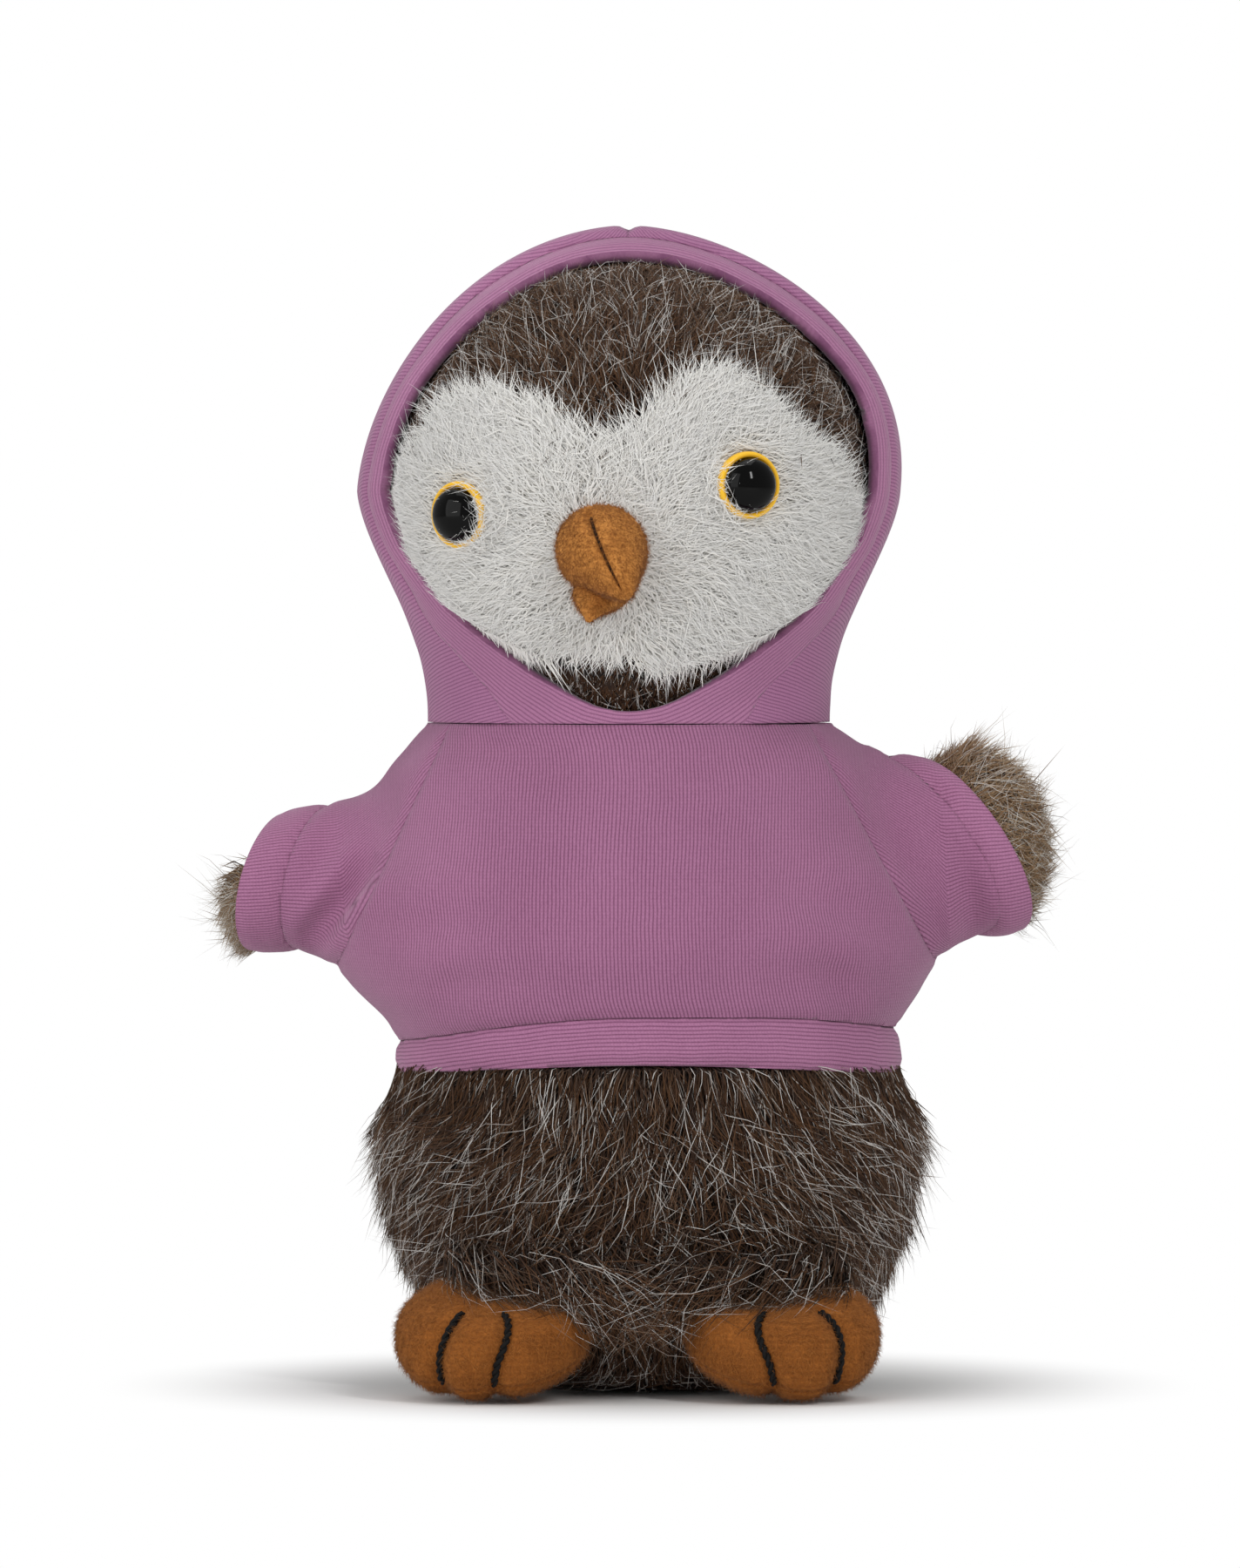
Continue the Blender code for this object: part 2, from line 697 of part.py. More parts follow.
@dataclass(frozen=True)
class Wing:
    """Where one wing turns, which way it points and how large it is."""

    side: str
    sign: int
    pivot: Vector
    direction: Vector
    length: float
    tip_height: float

    def rings(self, grow=0.0):
        """Rings from the round root, centred on the pivot, to the tip."""
        upward = Vector((0, 1, 0)).cross(self.direction).normalized()
        root = WING_ROOT_RADIUS
        half_high = self.tip_height / 2
        half_deep = WING_THICKNESS / 2
        stations = []
        for step in range(1, 5):
            angle = math.radians(90) * step / 4
            size = root * math.sin(angle)
            stations.append((-root * math.cos(angle), size, size))
        straight = self.length - half_high * 0.7
        for step in range(1, 4):
            share = step / 3
            high = root + (half_high - root) * math.sin(share * math.pi / 2)
            deep = root + (half_deep - root) * math.sin(share * math.pi / 2)
            stations.append((straight * share, high, deep))
        for step in range(1, 5):
            angle = math.radians(82) * step / 4
            size = math.cos(angle)
            reach = straight + (self.length - straight) * math.sin(angle)
            stations.append((reach, half_high * size, half_deep * size))
        rings = []
        for along, high, deep in stations:
            ring = []
            for side in range(LIMB_SIDES):
                angle = 2 * math.pi * side / LIMB_SIDES
                spot = self.pivot + self.direction * along
                spot = spot + upward * ((high + grow) * math.cos(angle))
                ring.append(spot + Vector((0, (deep + grow) * math.sin(angle), 0)))
            rings.append(ring)
        return rings

    def tube(self, name, grow, run_on=0.0):
        """A straight tube round the wing as far as its tip, run on at both ends, for the sleeve."""
        upward = Vector((0, 1, 0)).cross(self.direction).normalized()
        rings = []
        half_high = self.tip_height / 2 + grow
        half_deep = WING_THICKNESS / 2 + grow
        levels = 8
        span = self.length + WING_ROOT_RADIUS
        for level in range(levels):
            along = level / (levels - 1) * (span + 2 * run_on) - WING_ROOT_RADIUS / 2 - run_on
            flare = 1 + SLEEVE_FLARE_SHARE * (1 - (along + WING_ROOT_RADIUS / 2) / span)
            ring = []
            for side in range(LIMB_SIDES):
                angle = 2 * math.pi * side / LIMB_SIDES
                spot = self.pivot + self.direction * along
                spot = spot + upward * (half_high * flare * math.cos(angle))
                ring.append(spot + Vector((0, half_deep * flare * math.sin(angle), 0)))
            rings.append(ring)
        return loft(name, rings)


def wing_at(side, sign, height, length, tip_height, rise_deg):
    """Place a wing so that its round root lies just outside the body's side."""
    beside = 0.0
    for step in range(-8, 9):
        angle = math.radians(90) * step / 8
        body = body_section(height + WING_ROOT_RADIUS * math.sin(angle))
        beside = max(beside, body.half_width + WING_ROOT_RADIUS * math.cos(angle))
    beside += CLEARANCE
    pivot = Vector((sign * beside, 0, height))
    rise = math.radians(rise_deg)
    direction = Vector((sign * math.cos(rise), 0, math.sin(rise)))
    return Wing(side, sign, pivot, direction, length, tip_height)


LEFT_WING = wing_at(
    "left", -1, LEFT_WING_HEIGHT, LEFT_WING_LENGTH, LEFT_WING_TIP_HEIGHT, LEFT_WING_RISE_DEG
)
RIGHT_WING = wing_at(
    "right", 1, RIGHT_WING_HEIGHT, RIGHT_WING_LENGTH, RIGHT_WING_TIP_HEIGHT, RIGHT_WING_RISE_DEG
)


def build_wing(wing):
    """One stuffed wing."""
    piece = loft(wing.side + "_wing", wing.rings())
    return dress(piece, BROWN_FUR, 0.9)


def toe_groove(angle):
    """How deep the two grooves between the toes are at an angle from straight ahead."""
    return sum(math.exp(-((angle - line) / math.radians(9)) ** 2) for line in TOE_LINES)


def foot_spot(place, around, up_angle, grow=0.0):
    """A point on a foot: around is measured from straight ahead, up_angle from the sole."""
    forward = math.cos(around)
    sideways = math.sin(around)
    groove = toe_groove(around) * TOE_GROOVE_DEPTH if forward > 0 else 0.0
    flat = math.cos(up_angle) ** 0.6
    rise = math.copysign(abs(math.sin(up_angle)) ** 0.8, up_angle)
    spot = Vector((
        sideways * ((FOOT_WIDTH / 2 - groove) * flat + grow),
        -forward * ((FOOT_LENGTH / 2 - groove) * flat + grow),
        rise * (FOOT_THICKNESS / 2 - groove * 0.7 * flat) + grow * math.sin(up_angle),
    ))
    return place @ spot


def build_foot(side, sign, centre_x):
    """One foot pad with its two toe stitches, cut flat underneath and by the body."""
    pitch = Matrix.Rotation(math.radians(FOOT_PITCH_DEG), 4, "X")
    yaw = Matrix.Rotation(sign * math.radians(FOOT_SPREAD_DEG), 4, "Z")
    sink = FOOT_LENGTH / 2 * math.sin(math.radians(FOOT_PITCH_DEG)) * 0.62
    centre = Vector((centre_x, -FOOT_REACH, FOOT_THICKNESS / 2 + sink - STAND_DEPTH))
    place = Matrix.Translation(centre) @ yaw @ pitch
    rings = []
    levels = 8
    for level in range(levels):
        up_angle = math.radians(-82 + 164 * level / (levels - 1))
        ring = []
        for step in range(2 * LIMB_SIDES):
            around = 2 * math.pi * step / (2 * LIMB_SIDES) - math.pi
            ring.append(foot_spot(place, around, up_angle))
        rings.append(ring)
    foot = loft(side + "_foot", rings)
    down = Vector((0, 0, -1))
    reach = FOOT_LENGTH + BODY_WIDTH
    ground = slab("ground", Vector((0, 0, 0)), down, 0.0, OVERRUN, reach)
    cut_away(foot, ground)
    heights = body_heights(0.0, NECK_HEIGHT / 2)
    belly = loft("belly", [ring_of(body_section(h, CLEARANCE), BODY_SIDES) for h in heights])
    belly.location.z = -CLEARANCE
    bpy.context.view_layer.update()
    cut_away(foot, belly)
    pieces = [dress(foot, VELOUR, 0.9)]

    for label, line in zip(("inner", "outer") if sign < 0 else ("outer", "inner"), TOE_LINES[::-1]):
        stand_off = STITCH_RADIUS + CLEARANCE
        path = []
        for level in range(9):
            up_angle = math.radians(-18 + 88 * level / 8)
            path.append(foot_spot(place, line, up_angle, stand_off))
        rings = []
        for index, spot in enumerate(path):
            ahead = path[min(index + 1, len(path) - 1)]
            behind = path[max(index - 1, 0)]
            along = (ahead - behind).normalized()
            first = (Vector((1, 0, 0)) - along * along.x).normalized()
            second = along.cross(first)
            ring = []
            for step in range(STITCH_SIDES):
                angle = 2 * math.pi * step / STITCH_SIDES
                push = first * math.cos(angle) + second * math.sin(angle)
                ring.append(spot + push * STITCH_RADIUS)
            rings.append(ring)
        stitch = loft(side + "_foot_stitch_" + label, rings)
        pieces.append(dress(stitch, THREAD, 0.7))
    return pieces


def shirt_fold(angle, height):
    """Shallow folds that fan out below each arm on the front and the back."""
    level = (height - WAIST_HEIGHT) / (NECK_HEIGHT - WAIST_HEIGHT)
    strength = math.sin(math.pi * min(max(level, 0.0), 1.0)) ** 2
    sideways = abs(math.cos(angle)) ** 2
    wave = math.cos(7 * angle + 4 * level)
    return SHIRT_FOLD_DEPTH * strength * sideways * wave * abs(math.sin(angle))


def shirt_solid(name, inset, low, high):
    """A solid filling the sweatshirt's torso, drawn in by inset, without sleeves."""
    levels = 12
    rings = []
    for level in range(levels + 1):
        height = low + (high - low) * level / levels
        rings.append(ring_of(shirt_section(height, inset), SHIRT_SIDES, shirt_fold))
    return loft(name, rings)


def build_shirt_shell():
    """The whole sweatshirt without its hood: outer solid less the room inside it."""
    top = NECK_HEIGHT - CLEARANCE / 2
    low = WAIST_HEIGHT - OVERRUN
    shell = shirt_solid("shirt_shell", 0.0, low, top)
    sleeve_room = CLEARANCE + SLEEVE_EASE
    for wing in (LEFT_WING, RIGHT_WING):
        sleeve = wing.tube("sleeve_outer", sleeve_room + CLOTH_THICKNESS)
        carve(shell, sleeve, "UNION", CLOTH_SOLVER)
        discard(sleeve)
    room = shirt_solid("shirt_room", CLOTH_THICKNESS, low - CLEARANCE, top + CLEARANCE)
    cut_away(shell, room, CLOTH_SOLVER)
    for wing in (LEFT_WING, RIGHT_WING):
        hollow = wing.tube("sleeve_room", sleeve_room)
        hollow.location = wing.direction * WING_ROOT_RADIUS / 4
        bpy.context.view_layer.update()
        cut_away(shell, hollow, CLOTH_SOLVER)
    return shell


def armpit_of(wing):
    """Where the underside of a sleeve meets the side of the sweatshirt, in X and Z."""
    under = wing.tip_height / 2 + CLEARANCE + SLEEVE_EASE + CLOTH_THICKNESS
    height = wing.pivot.z - under * (1 + SLEEVE_FLARE_SHARE) - ARMPIT_DROP
    section = shirt_section(height)
    return section.centre_x + wing.sign * section.half_width, height


def raglan_line(wing, shift):
    """The raglan seam's two ends in X and Z, moved sideways by shift and run past both."""
    neck = shirt_section(NECK_HEIGHT)
    top_x = neck.centre_x + wing.sign * neck.half_width * RAGLAN_NECK_SHARE
    low_x, low_z = armpit_of(wing)
    slope = (low_x - top_x) / (low_z - NECK_HEIGHT)
    high_z = NECK_HEIGHT + OVERRUN
    top = (top_x + slope * (high_z - NECK_HEIGHT) + wing.sign * shift, high_z)
    return top, (low_x + wing.sign * shift, low_z)


def waist_line(height, reach, steps=10):
    """Points along the waist seam, which rises a little in the middle."""
    points = []
    for step in range(steps + 1):
        across = -1 + 2 * step / steps
        rise = WAIST_RISE * math.cos(across * math.pi / 2)
        points.append((across * reach, height + rise))
    return points


def panel_outline():
    """Front and back panels seen from the front: neck, raglan seams, sides and waist."""
    wide = SHIRT_WIDE
    half = CLEARANCE / 2
    left_top, left_low = raglan_line(LEFT_WING, -half)
    right_top, right_low = raglan_line(RIGHT_WING, -half)
    waist = waist_line(WAIST_HEIGHT + WAISTBAND_WIDTH + half, wide)
    return [left_top, left_low] + waist + [right_low, right_top]


def build_shirt():
    """Front, back, waistband, sleeves and cuffs, all cut from one shell."""
    shell = build_shirt_shell()
    half = CLEARANCE / 2
    deep = BODY_DEPTH + OVERRUN
    front = copy_of(shell, "hoodie_front")
    front_cut = prism("front_cut", panel_outline(), "Y", -deep, -half)
    keep_inside(front, front_cut, CLOTH_SOLVER)
    back = copy_of(shell, "hoodie_back")
    back_cut = prism("back_cut", panel_outline(), "Y", half, deep)
    keep_inside(back, back_cut, CLOTH_SOLVER)

    waistband = copy_of(shell, "waistband")
    low_line = waist_line(WAIST_HEIGHT, SHIRT_WIDE)
    high_line = waist_line(WAIST_HEIGHT + WAISTBAND_WIDTH - half, SHIRT_WIDE)
    waist_cut = prism("waist_cut", low_line + high_line[::-1], "Y", -deep, deep)
    keep_inside(waistband, waist_cut, CLOTH_SOLVER)

    pieces = {"front": dress(front, KNIT, 0.95), "back": dress(back, KNIT, 0.95)}
    pieces["waistband"] = dress(waistband, KNIT_BAND, 0.95)
    for wing, normal, along in (
        (LEFT_WING, LEFT_CUFF_NORMAL, LEFT_CUFF_ALONG),
        (RIGHT_WING, RIGHT_CUFF_NORMAL, RIGHT_CUFF_ALONG),
    ):
        seam_top, seam_low = raglan_line(wing, half)
        wide = wing.sign * SHIRT_WIDE
        below = WAIST_HEIGHT + WAISTBAND_WIDTH + CLEARANCE
        outline = [seam_top, seam_low, (wide, below), (wide, seam_top[1])]
        edge = wing.pivot + Vector((wing.sign * along, 0, 0))
        sleeve = copy_of(shell, wing.side + "_sleeve")
        keep_inside(sleeve, prism("sleeve_cut", outline, "Y", -deep, deep), CLOTH_SOLVER)
        room = CLEARANCE + SLEEVE_EASE
        cuff = wing.tube(wing.side + "_cuff", room + CLOTH_THICKNESS)
        cut_away(cuff, wing.tube("cuff_room", room, OVERRUN), CLOTH_SOLVER)
        inner_end = -(CUFF_WIDTH + half)
        outer_end = -(CUFF_WIDTH - half)
        sleeve_end = slab("sleeve_end", edge, normal, inner_end - deep, inner_end, deep)
        keep_inside(sleeve, sleeve_end, CLOTH_SOLVER)
        keep_inside(cuff, slab("cuff_end", edge, normal, outer_end, 0.0, deep), CLOTH_SOLVER)
        pieces[wing.side + "_sleeve"] = dress(sleeve, KNIT, 0.95)
        pieces[wing.side + "_cuff"] = dress(cuff, KNIT_BAND, 0.95)
    discard(shell)
    return pieces


def hood_edge(setback):
    """The hood's front edge in Y and Z, moved back square to itself by setback."""
    line = []
    for forward, up in HOOD_EDGE_SHARES:
        line.append(Vector((-forward * HOOD_OPENING_FRONT, NECK_HEIGHT + up * HEAD_HEIGHT)))
    moved = []
    for index, spot in enumerate(line):
        ahead = line[min(index + 1, len(line) - 1)]
        behind = line[max(index - 1, 0)]
        along = (ahead - behind).normalized()
        moved.append(spot + Vector((-along.y, along.x)) * setback)
    return [(spot.x, spot.y) for spot in moved]


def hem_band(name, spread):
    """The doubled hem round the face, thickened all round by spread."""
    outer = [ring_of(section, SHIRT_SIDES) for section in hood_sections(-spread)]
    inner = [ring_of(section, SHIRT_SIDES) for section in hood_sections(HEM_THICKNESS + spread)]
    band = loft(name, outer[::-1] + inner)
    outline = hood_edge(-spread) + hood_edge(HEM_WIDTH - CLEARANCE / 2 + spread)[::-1]
    return keep_inside(band, prism("hem_cut", outline, "X", -HEAD_WIDTH, HEAD_WIDTH))


def build_hood(panel):
    """Two hood panels and the hem, cut from two domes; the hem presses into the face's pile."""
    outer = [ring_of(section, SHIRT_SIDES) for section in hood_sections()]
    inner = [ring_of(section, SHIRT_SIDES) for section in hood_sections(CLOTH_THICKNESS)]
    half = CLEARANCE / 2
    back_y = HEAD_DEPTH + OVERRUN
    behind = hood_edge(HEM_WIDTH + half)
    rear = behind + [(back_y, behind[-1][1]), (back_y, behind[0][1])]
    hem = hem_band("hood_hem", 0.0)
    cut_away(panel, hem_band("hem_room", CLEARANCE))
    left = loft("hood_left", outer[::-1] + inner)
    keep_inside(left, prism("left_cut", rear, "X", -HEAD_WIDTH, HEAD_SHIFT - half))
    right = loft("hood_right", outer[::-1] + inner)
    keep_inside(right, prism("right_cut", rear, "X", HEAD_SHIFT + half, HEAD_WIDTH))
    return [dress(hem, KNIT_BAND, 0.95), dress(left, KNIT, 0.95), dress(right, KNIT, 0.95)]


def pivot_at(name, spot):
    """An empty on a joint's axis."""
    made = bpy.data.objects.new(name, None)
    made.location = spot
    bpy.context.scene.collection.objects.link(made)
    return made


def hang_on(pivot, pieces):
    """Parent pieces to a pivot without moving them."""
    bpy.context.view_layer.update()
    for piece in pieces:
        piece.parent = pivot
        piece.matrix_parent_inverse = pivot.matrix_world.inverted()


def main():
    """Build every piece and hang the moving ones on their pivots."""
    for old in list(bpy.data.objects):
        bpy.data.objects.remove(old)
    build_body()
    skin, panel, filling = build_head()
    left_eye = build_eye("left", -1, panel, filling)
    right_eye = build_eye("right", 1, panel, filling)
    beak = build_beak(panel)
    left_wing = build_wing(LEFT_WING)
    right_wing = build_wing(RIGHT_WING)
    build_foot("left", -1, LEFT_FOOT_X)
    build_foot("right", 1, RIGHT_FOOT_X)
    shirt = build_shirt()
    hood = build_hood(panel)
    dress(panel, WHITE_FUR, 0.95)
    dress(filling, FILLING, 1.0)

    head_pivot = pivot_at("head_pivot", (HEAD_SHIFT, 0, NECK_HEIGHT))
    hang_on(head_pivot, [skin, panel, filling] + left_eye + right_eye + beak + hood)
    left_pivot = pivot_at("left_wing_pivot", LEFT_WING.pivot)
    hang_on(left_pivot, [left_wing, shirt["left_sleeve"], shirt["left_cuff"]])
    right_pivot = pivot_at("right_wing_pivot", RIGHT_WING.pivot)
    hang_on(right_pivot, [right_wing, shirt["right_sleeve"], shirt["right_cuff"]])
    print("left wing pivot", tuple(LEFT_WING.pivot), "right", tuple(RIGHT_WING.pivot))


main()
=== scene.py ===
"""Plush owl in a hooded sweatshirt, dressed on its CAD frame for the photograph.

Metres, +Z up, the face looks along -Y. Left and right are as seen from the front.
Each sub-assembly is a class that builds its meshes and dresses them; each finish is a class.
"""

import json
import logging
import math
from dataclasses import dataclass
from enum import Enum
from typing import Callable

import bmesh
import bpy
import numpy as np
from bpy.types import ID, Material, Node, NodeSocket, NodeTree, Object
from mathutils import Matrix, Vector
from mathutils.kdtree import KDTree

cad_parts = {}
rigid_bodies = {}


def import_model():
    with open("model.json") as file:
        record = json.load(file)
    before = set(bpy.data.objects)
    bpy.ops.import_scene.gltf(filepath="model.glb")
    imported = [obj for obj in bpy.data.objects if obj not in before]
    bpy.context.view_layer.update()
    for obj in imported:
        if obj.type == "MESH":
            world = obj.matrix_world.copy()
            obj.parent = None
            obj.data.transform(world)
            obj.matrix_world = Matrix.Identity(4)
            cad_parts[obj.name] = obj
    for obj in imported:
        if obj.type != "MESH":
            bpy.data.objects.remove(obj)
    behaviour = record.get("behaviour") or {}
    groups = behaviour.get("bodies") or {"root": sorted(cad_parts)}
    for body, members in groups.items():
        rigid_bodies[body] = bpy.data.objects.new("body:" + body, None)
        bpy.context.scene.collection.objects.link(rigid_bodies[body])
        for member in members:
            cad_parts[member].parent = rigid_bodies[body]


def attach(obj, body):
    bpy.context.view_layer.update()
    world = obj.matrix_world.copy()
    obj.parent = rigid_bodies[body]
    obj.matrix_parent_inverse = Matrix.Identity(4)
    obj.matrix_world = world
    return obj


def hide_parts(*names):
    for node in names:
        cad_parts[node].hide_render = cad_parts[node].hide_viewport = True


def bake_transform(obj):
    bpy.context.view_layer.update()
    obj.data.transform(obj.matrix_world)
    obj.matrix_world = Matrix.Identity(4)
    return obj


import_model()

logging.basicConfig(level=logging.INFO, format="%(message)s")
LOG = logging.getLogger("owl")

MM = 0.001
Array = np.ndarray
BMesh = bmesh.types.BMesh
Field = Callable[[Array], Array]
Stops = tuple[tuple[float, str], ...]


class Body(Enum):
    """The moving bodies that pieces ride on."""

    TORSO = "torso"
    HEAD = "head"
    LEFT_WING = "left_wing"
    RIGHT_WING = "right_wing"


class Slot(Enum):
    """Material slots of the record."""

    BROWN_PLUSH = "brown_plush"
    WHITE_PLUSH = "white_plush"
    VELOUR = "velour"
    THREAD = "thread"
    KNIT = "knit"
    RIB_KNIT = "rib_knit"
    EYE_YELLOW = "eye_yellow"
    EYE_BLACK = "eye_black"


# ---------------- shapes shared with the CAD

class Rows:
    """A table of shares, read smoothly between its rows."""

    def __init__(self, *rows: tuple[float, ...]) -> None:
        """Keep the rows; the first column is the key."""
        self.keys = np.array([row[0] for row in rows])
        self.values = np.array([row[1:] for row in rows])

    def read(self, share: Array) -> Array:
        """Read every column at many shares.

        Args:
            share: keys to read at.

        Returns:
            One row of values for each key.
        """
        keys, values = self.keys, self.values
        share = np.clip(np.atleast_1d(share), keys[0], keys[-1])
        low = np.clip(np.searchsorted(keys, share, side="right") - 1, 0, len(keys) - 2)
        before, after = np.maximum(low - 1, 0), np.minimum(low + 2, len(keys) - 1)
        span = (keys[low + 1] - keys[low])[:, None]
        t = (share - keys[low])[:, None] / span
        slope_low = (values[low + 1] - values[before]) / (keys[low + 1] - keys[before])[:, None]
        slope_high = (values[after] - values[low]) / (keys[after] - keys[low])[:, None]
        near = (2 * t**3 - 3 * t**2 + 1) * values[low]
        far = (3 * t**2 - 2 * t**3) * values[low + 1]
        pull = (t**3 - 2 * t**2 + t) * slope_low * span + (t**3 - t**2) * slope_high * span
        return near + far + pull


NECK = 100 * MM  # the height of the neck seam
BODY_HALF_WIDTH = 38.5 * MM
BODY_HALF_DEPTH = 33.5 * MM
HEAD_CENTRE = Vector((-0.003, 0, 0.135))
CLOTH = 1.2 * MM  # how thick the jersey is
WAIST_WAVE = 84 * MM  # the width over which the waistband's seams rise and fall
HOOD_RADIUS = 34 * MM  # the radius on which the hood's knit is laid out

# Height, half width and half depth of the stuffed body, as shares
BODY_ROWS = Rows(
    (0.00, 0.50, 0.50), (0.02, 0.64, 0.65), (0.06, 0.76, 0.77), (0.12, 0.85, 0.86),
    (0.20, 0.92, 0.94), (0.30, 0.98, 0.99), (0.40, 1.00, 1.00), (0.50, 0.94, 0.97),
    (0.58, 0.94, 0.96), (0.65, 0.89, 0.95), (0.72, 0.81, 0.93), (0.80, 0.72, 0.89),
    (0.90, 0.68, 0.82), (1.00, 0.66, 0.76),
)

# Height, then the sweatshirt's ease at the side and front and its sideways shift, as shares
EASE_ROWS = Rows(
    (0.45, 0.04, 0.12, 0.0), (0.50, 0.04, 0.15, 0.0), (0.55, 0.08, 0.22, 0.3),
    (0.60, 0.42, 0.55, 0.8), (0.66, 0.78, 0.90, 1.0), (0.76, 1.00, 1.00, 1.0),
    (0.84, 0.86, 0.95, 0.9), (0.89, 0.80, 0.88, 0.8), (0.93, 0.73, 0.79, 0.8),
    (0.965, 0.52, 0.70, 0.9), (1.00, 0.29, 0.55, 1.25), (1.10, 0.27, 0.55, 1.25),
)


def body_halves(height: Array, grow: float = 0.0) -> tuple[Array, Array]:
    """The stuffed body's half width and half depth at many heights."""
    rows = BODY_ROWS.read(height / NECK)
    return rows[:, 0] * BODY_HALF_WIDTH + grow, rows[:, 1] * BODY_HALF_DEPTH + grow


def shirt_halves(height: Array) -> tuple[Array, Array, Array]:
    """The sweatshirt's centre and half sizes in X and Y at a height.

    Args:
        height: the heights.

    Returns:
        Centre, half width and half depth at each.
    """
    ease = EASE_ROWS.read(height / NECK)
    wide, deep = body_halves(np.minimum(height, NECK), 0.3 * MM + CLOTH)
    return ease[:, 2] * -2.3 * MM, wide + ease[:, 0] * 13.5 * MM, deep + ease[:, 1] * 4 * MM


def unit(vectors: Array) -> Array:
    """Vectors scaled to length one."""
    return vectors / np.maximum(np.linalg.norm(vectors, axis=-1, keepdims=True), 1e-12)


def smooth(value: Array, low: float, high: float) -> Array:
    """A smooth step from 0 at low to 1 at high."""
    t = np.clip((value - low) / (high - low), 0, 1)
    return t * t * (3 - 2 * t)


# ---------------- colours and node helpers

def linear(code: str) -> tuple[float, float, float, float]:
    """Turn an sRGB hex colour to linear red, green, blue and alpha.

    Args:
        code: the colour, as in #FFFFFF.

    Returns:
        Its four linear values.
    """
    parts = [int(code[i:i + 2], 16) / 255 for i in (1, 3, 5)]
    made = [c / 12.92 if c <= 0.04045 else ((c + 0.055) / 1.055) ** 2.4 for c in parts]
    return (made[0], made[1], made[2], 1.0)


def fill(tree: NodeTree, node: Node, values: dict) -> None:
    """Give a node's sockets their values and links.

    Args:
        tree: the node's tree.
        node: the node.
        values: by socket name or number, a value, an output socket to link, or a node, which
            stands for its first output.
    """
    for name, value in values.items():
        if isinstance(value, Node):
            value = value.outputs[0]
        if isinstance(value, NodeSocket):
            tree.links.new(value, node.inputs[name])
        else:
            node.inputs[name].default_value = value


def add_node(tree: NodeTree, kind: str, *values: object, named: dict | None = None,
             stops: Stops = (), **settings: object) -> Node:
    """Add one shader node with its settings and links.

    Args:
        tree: the material's node tree.
        kind: the node's type, without its prefix.
        values: what its first sockets take in turn, as in fill.
        named: the same for sockets given by name or number.
        stops: places and hex colours, where the node is a colour ramp.
        settings: attributes to set on the node.

    Returns:
        The new node.
    """
    node = tree.nodes.new("ShaderNode" + kind)
    for name, value in settings.items():
        setattr(node, name, value)
    fill(tree, node, {**dict(enumerate(values)), **(named or {})})
    if stops:
        ramp = node.color_ramp.elements
        ramp.remove(ramp[-1])
        for index, (place, code) in enumerate(stops):
            element = ramp.new(place) if index else ramp[0]
            element.position, element.color = place, linear(code)
    return node


def new_material(name: str, values: dict) -> tuple[Material, NodeTree, Node]:
    """A new material with values on its shader's own sockets.

    Args:
        name: the real material's name.
        values: the shader's socket names with what they hold all over.

    Returns:
        The material, its tree and its Principled shader.
    """
    made = bpy.data.materials.new(name)
    made.use_nodes = True
    shader = made.node_tree.nodes["Principled BSDF"]
    fill(made.node_tree, shader, values)
    return made, made.node_tree, shader


@dataclass(frozen=True)
class FurFinish:
    """Acrylic fur fibre. Each strand's UV holds its tone across and its length along.

    The lower half of the tone is soft underfur, the upper half long guard hair. Each colour ramp
    runs darker towards the root, partly the fibre's own colour and partly painted shade deep in the
    pile.
    """

    name: str
    under: Stops
    under_light: Stops
    guard: Stops
    guard_light: Stops
    roughness: float
    sheen: float

    def make(self) -> Material:
        """Build the material; every colour comes from the strand's own UV.

        Returns:
            The material.
        """
        made, tree, shader = new_material(self.name, {
            "Roughness": self.roughness, "Specular IOR Level": 0.3,
            "Sheen Weight": self.sheen, "Sheen Roughness": 0.5})
        uv = add_node(tree, "UVMap", uv_map="OFBake")
        tone, along = add_node(tree, "SeparateXYZ", uv).outputs[:2]
        is_guard = add_node(tree, "Math", tone, 0.5, operation="GREATER_THAN")
        double = add_node(tree, "Math", tone, 2.0, operation="MULTIPLY")
        within = add_node(tree, "Math", double, operation="FRACT")
        # Ramps along the strand: the darker root end is partly the fibre's own colour and partly
        # painted shade deep in the pile.
        under, guard = (add_node(tree, "Mix", data_type="RGBA", named={
            0: within, 6: add_node(tree, "ValToRGB", along, stops=dark),
            7: add_node(tree, "ValToRGB", along, stops=light),
        }).outputs[2] for dark, light in ((self.under, self.under_light),
                                          (self.guard, self.guard_light)))
        colour = add_node(tree, "Mix", data_type="RGBA", named={0: is_guard, 6: under, 7: guard})
        fill(tree, shader, {"Base Color": colour.outputs[2]})
        return made


# ---------------- meshes

def object_of(name: str, mesh: BMesh) -> Object:
    """Put a bmesh into a new object of the scene.

    Args:
        name: the object's name.
        mesh: what it shows; it is freed.

    Returns:
        The new object, shaded smooth.
    """
    data = bpy.data.meshes.new(name)
    mesh.to_mesh(data)
    mesh.free()
    made = bpy.data.objects.new(name, data)
    bpy.context.scene.collection.objects.link(made)
    data.shade_smooth()
    return made


def joined(name: str, forms: list[Object]) -> Object:
    """Join mesh objects into one new object and remove them.

    Args:
        name: the new object's name.
        forms: what to join.

    Returns:
        The new object.
    """
    mesh = bmesh.new()
    for form in forms:
        mesh.from_mesh(form.data)
        bpy.data.objects.remove(form)
    return object_of(name, mesh)


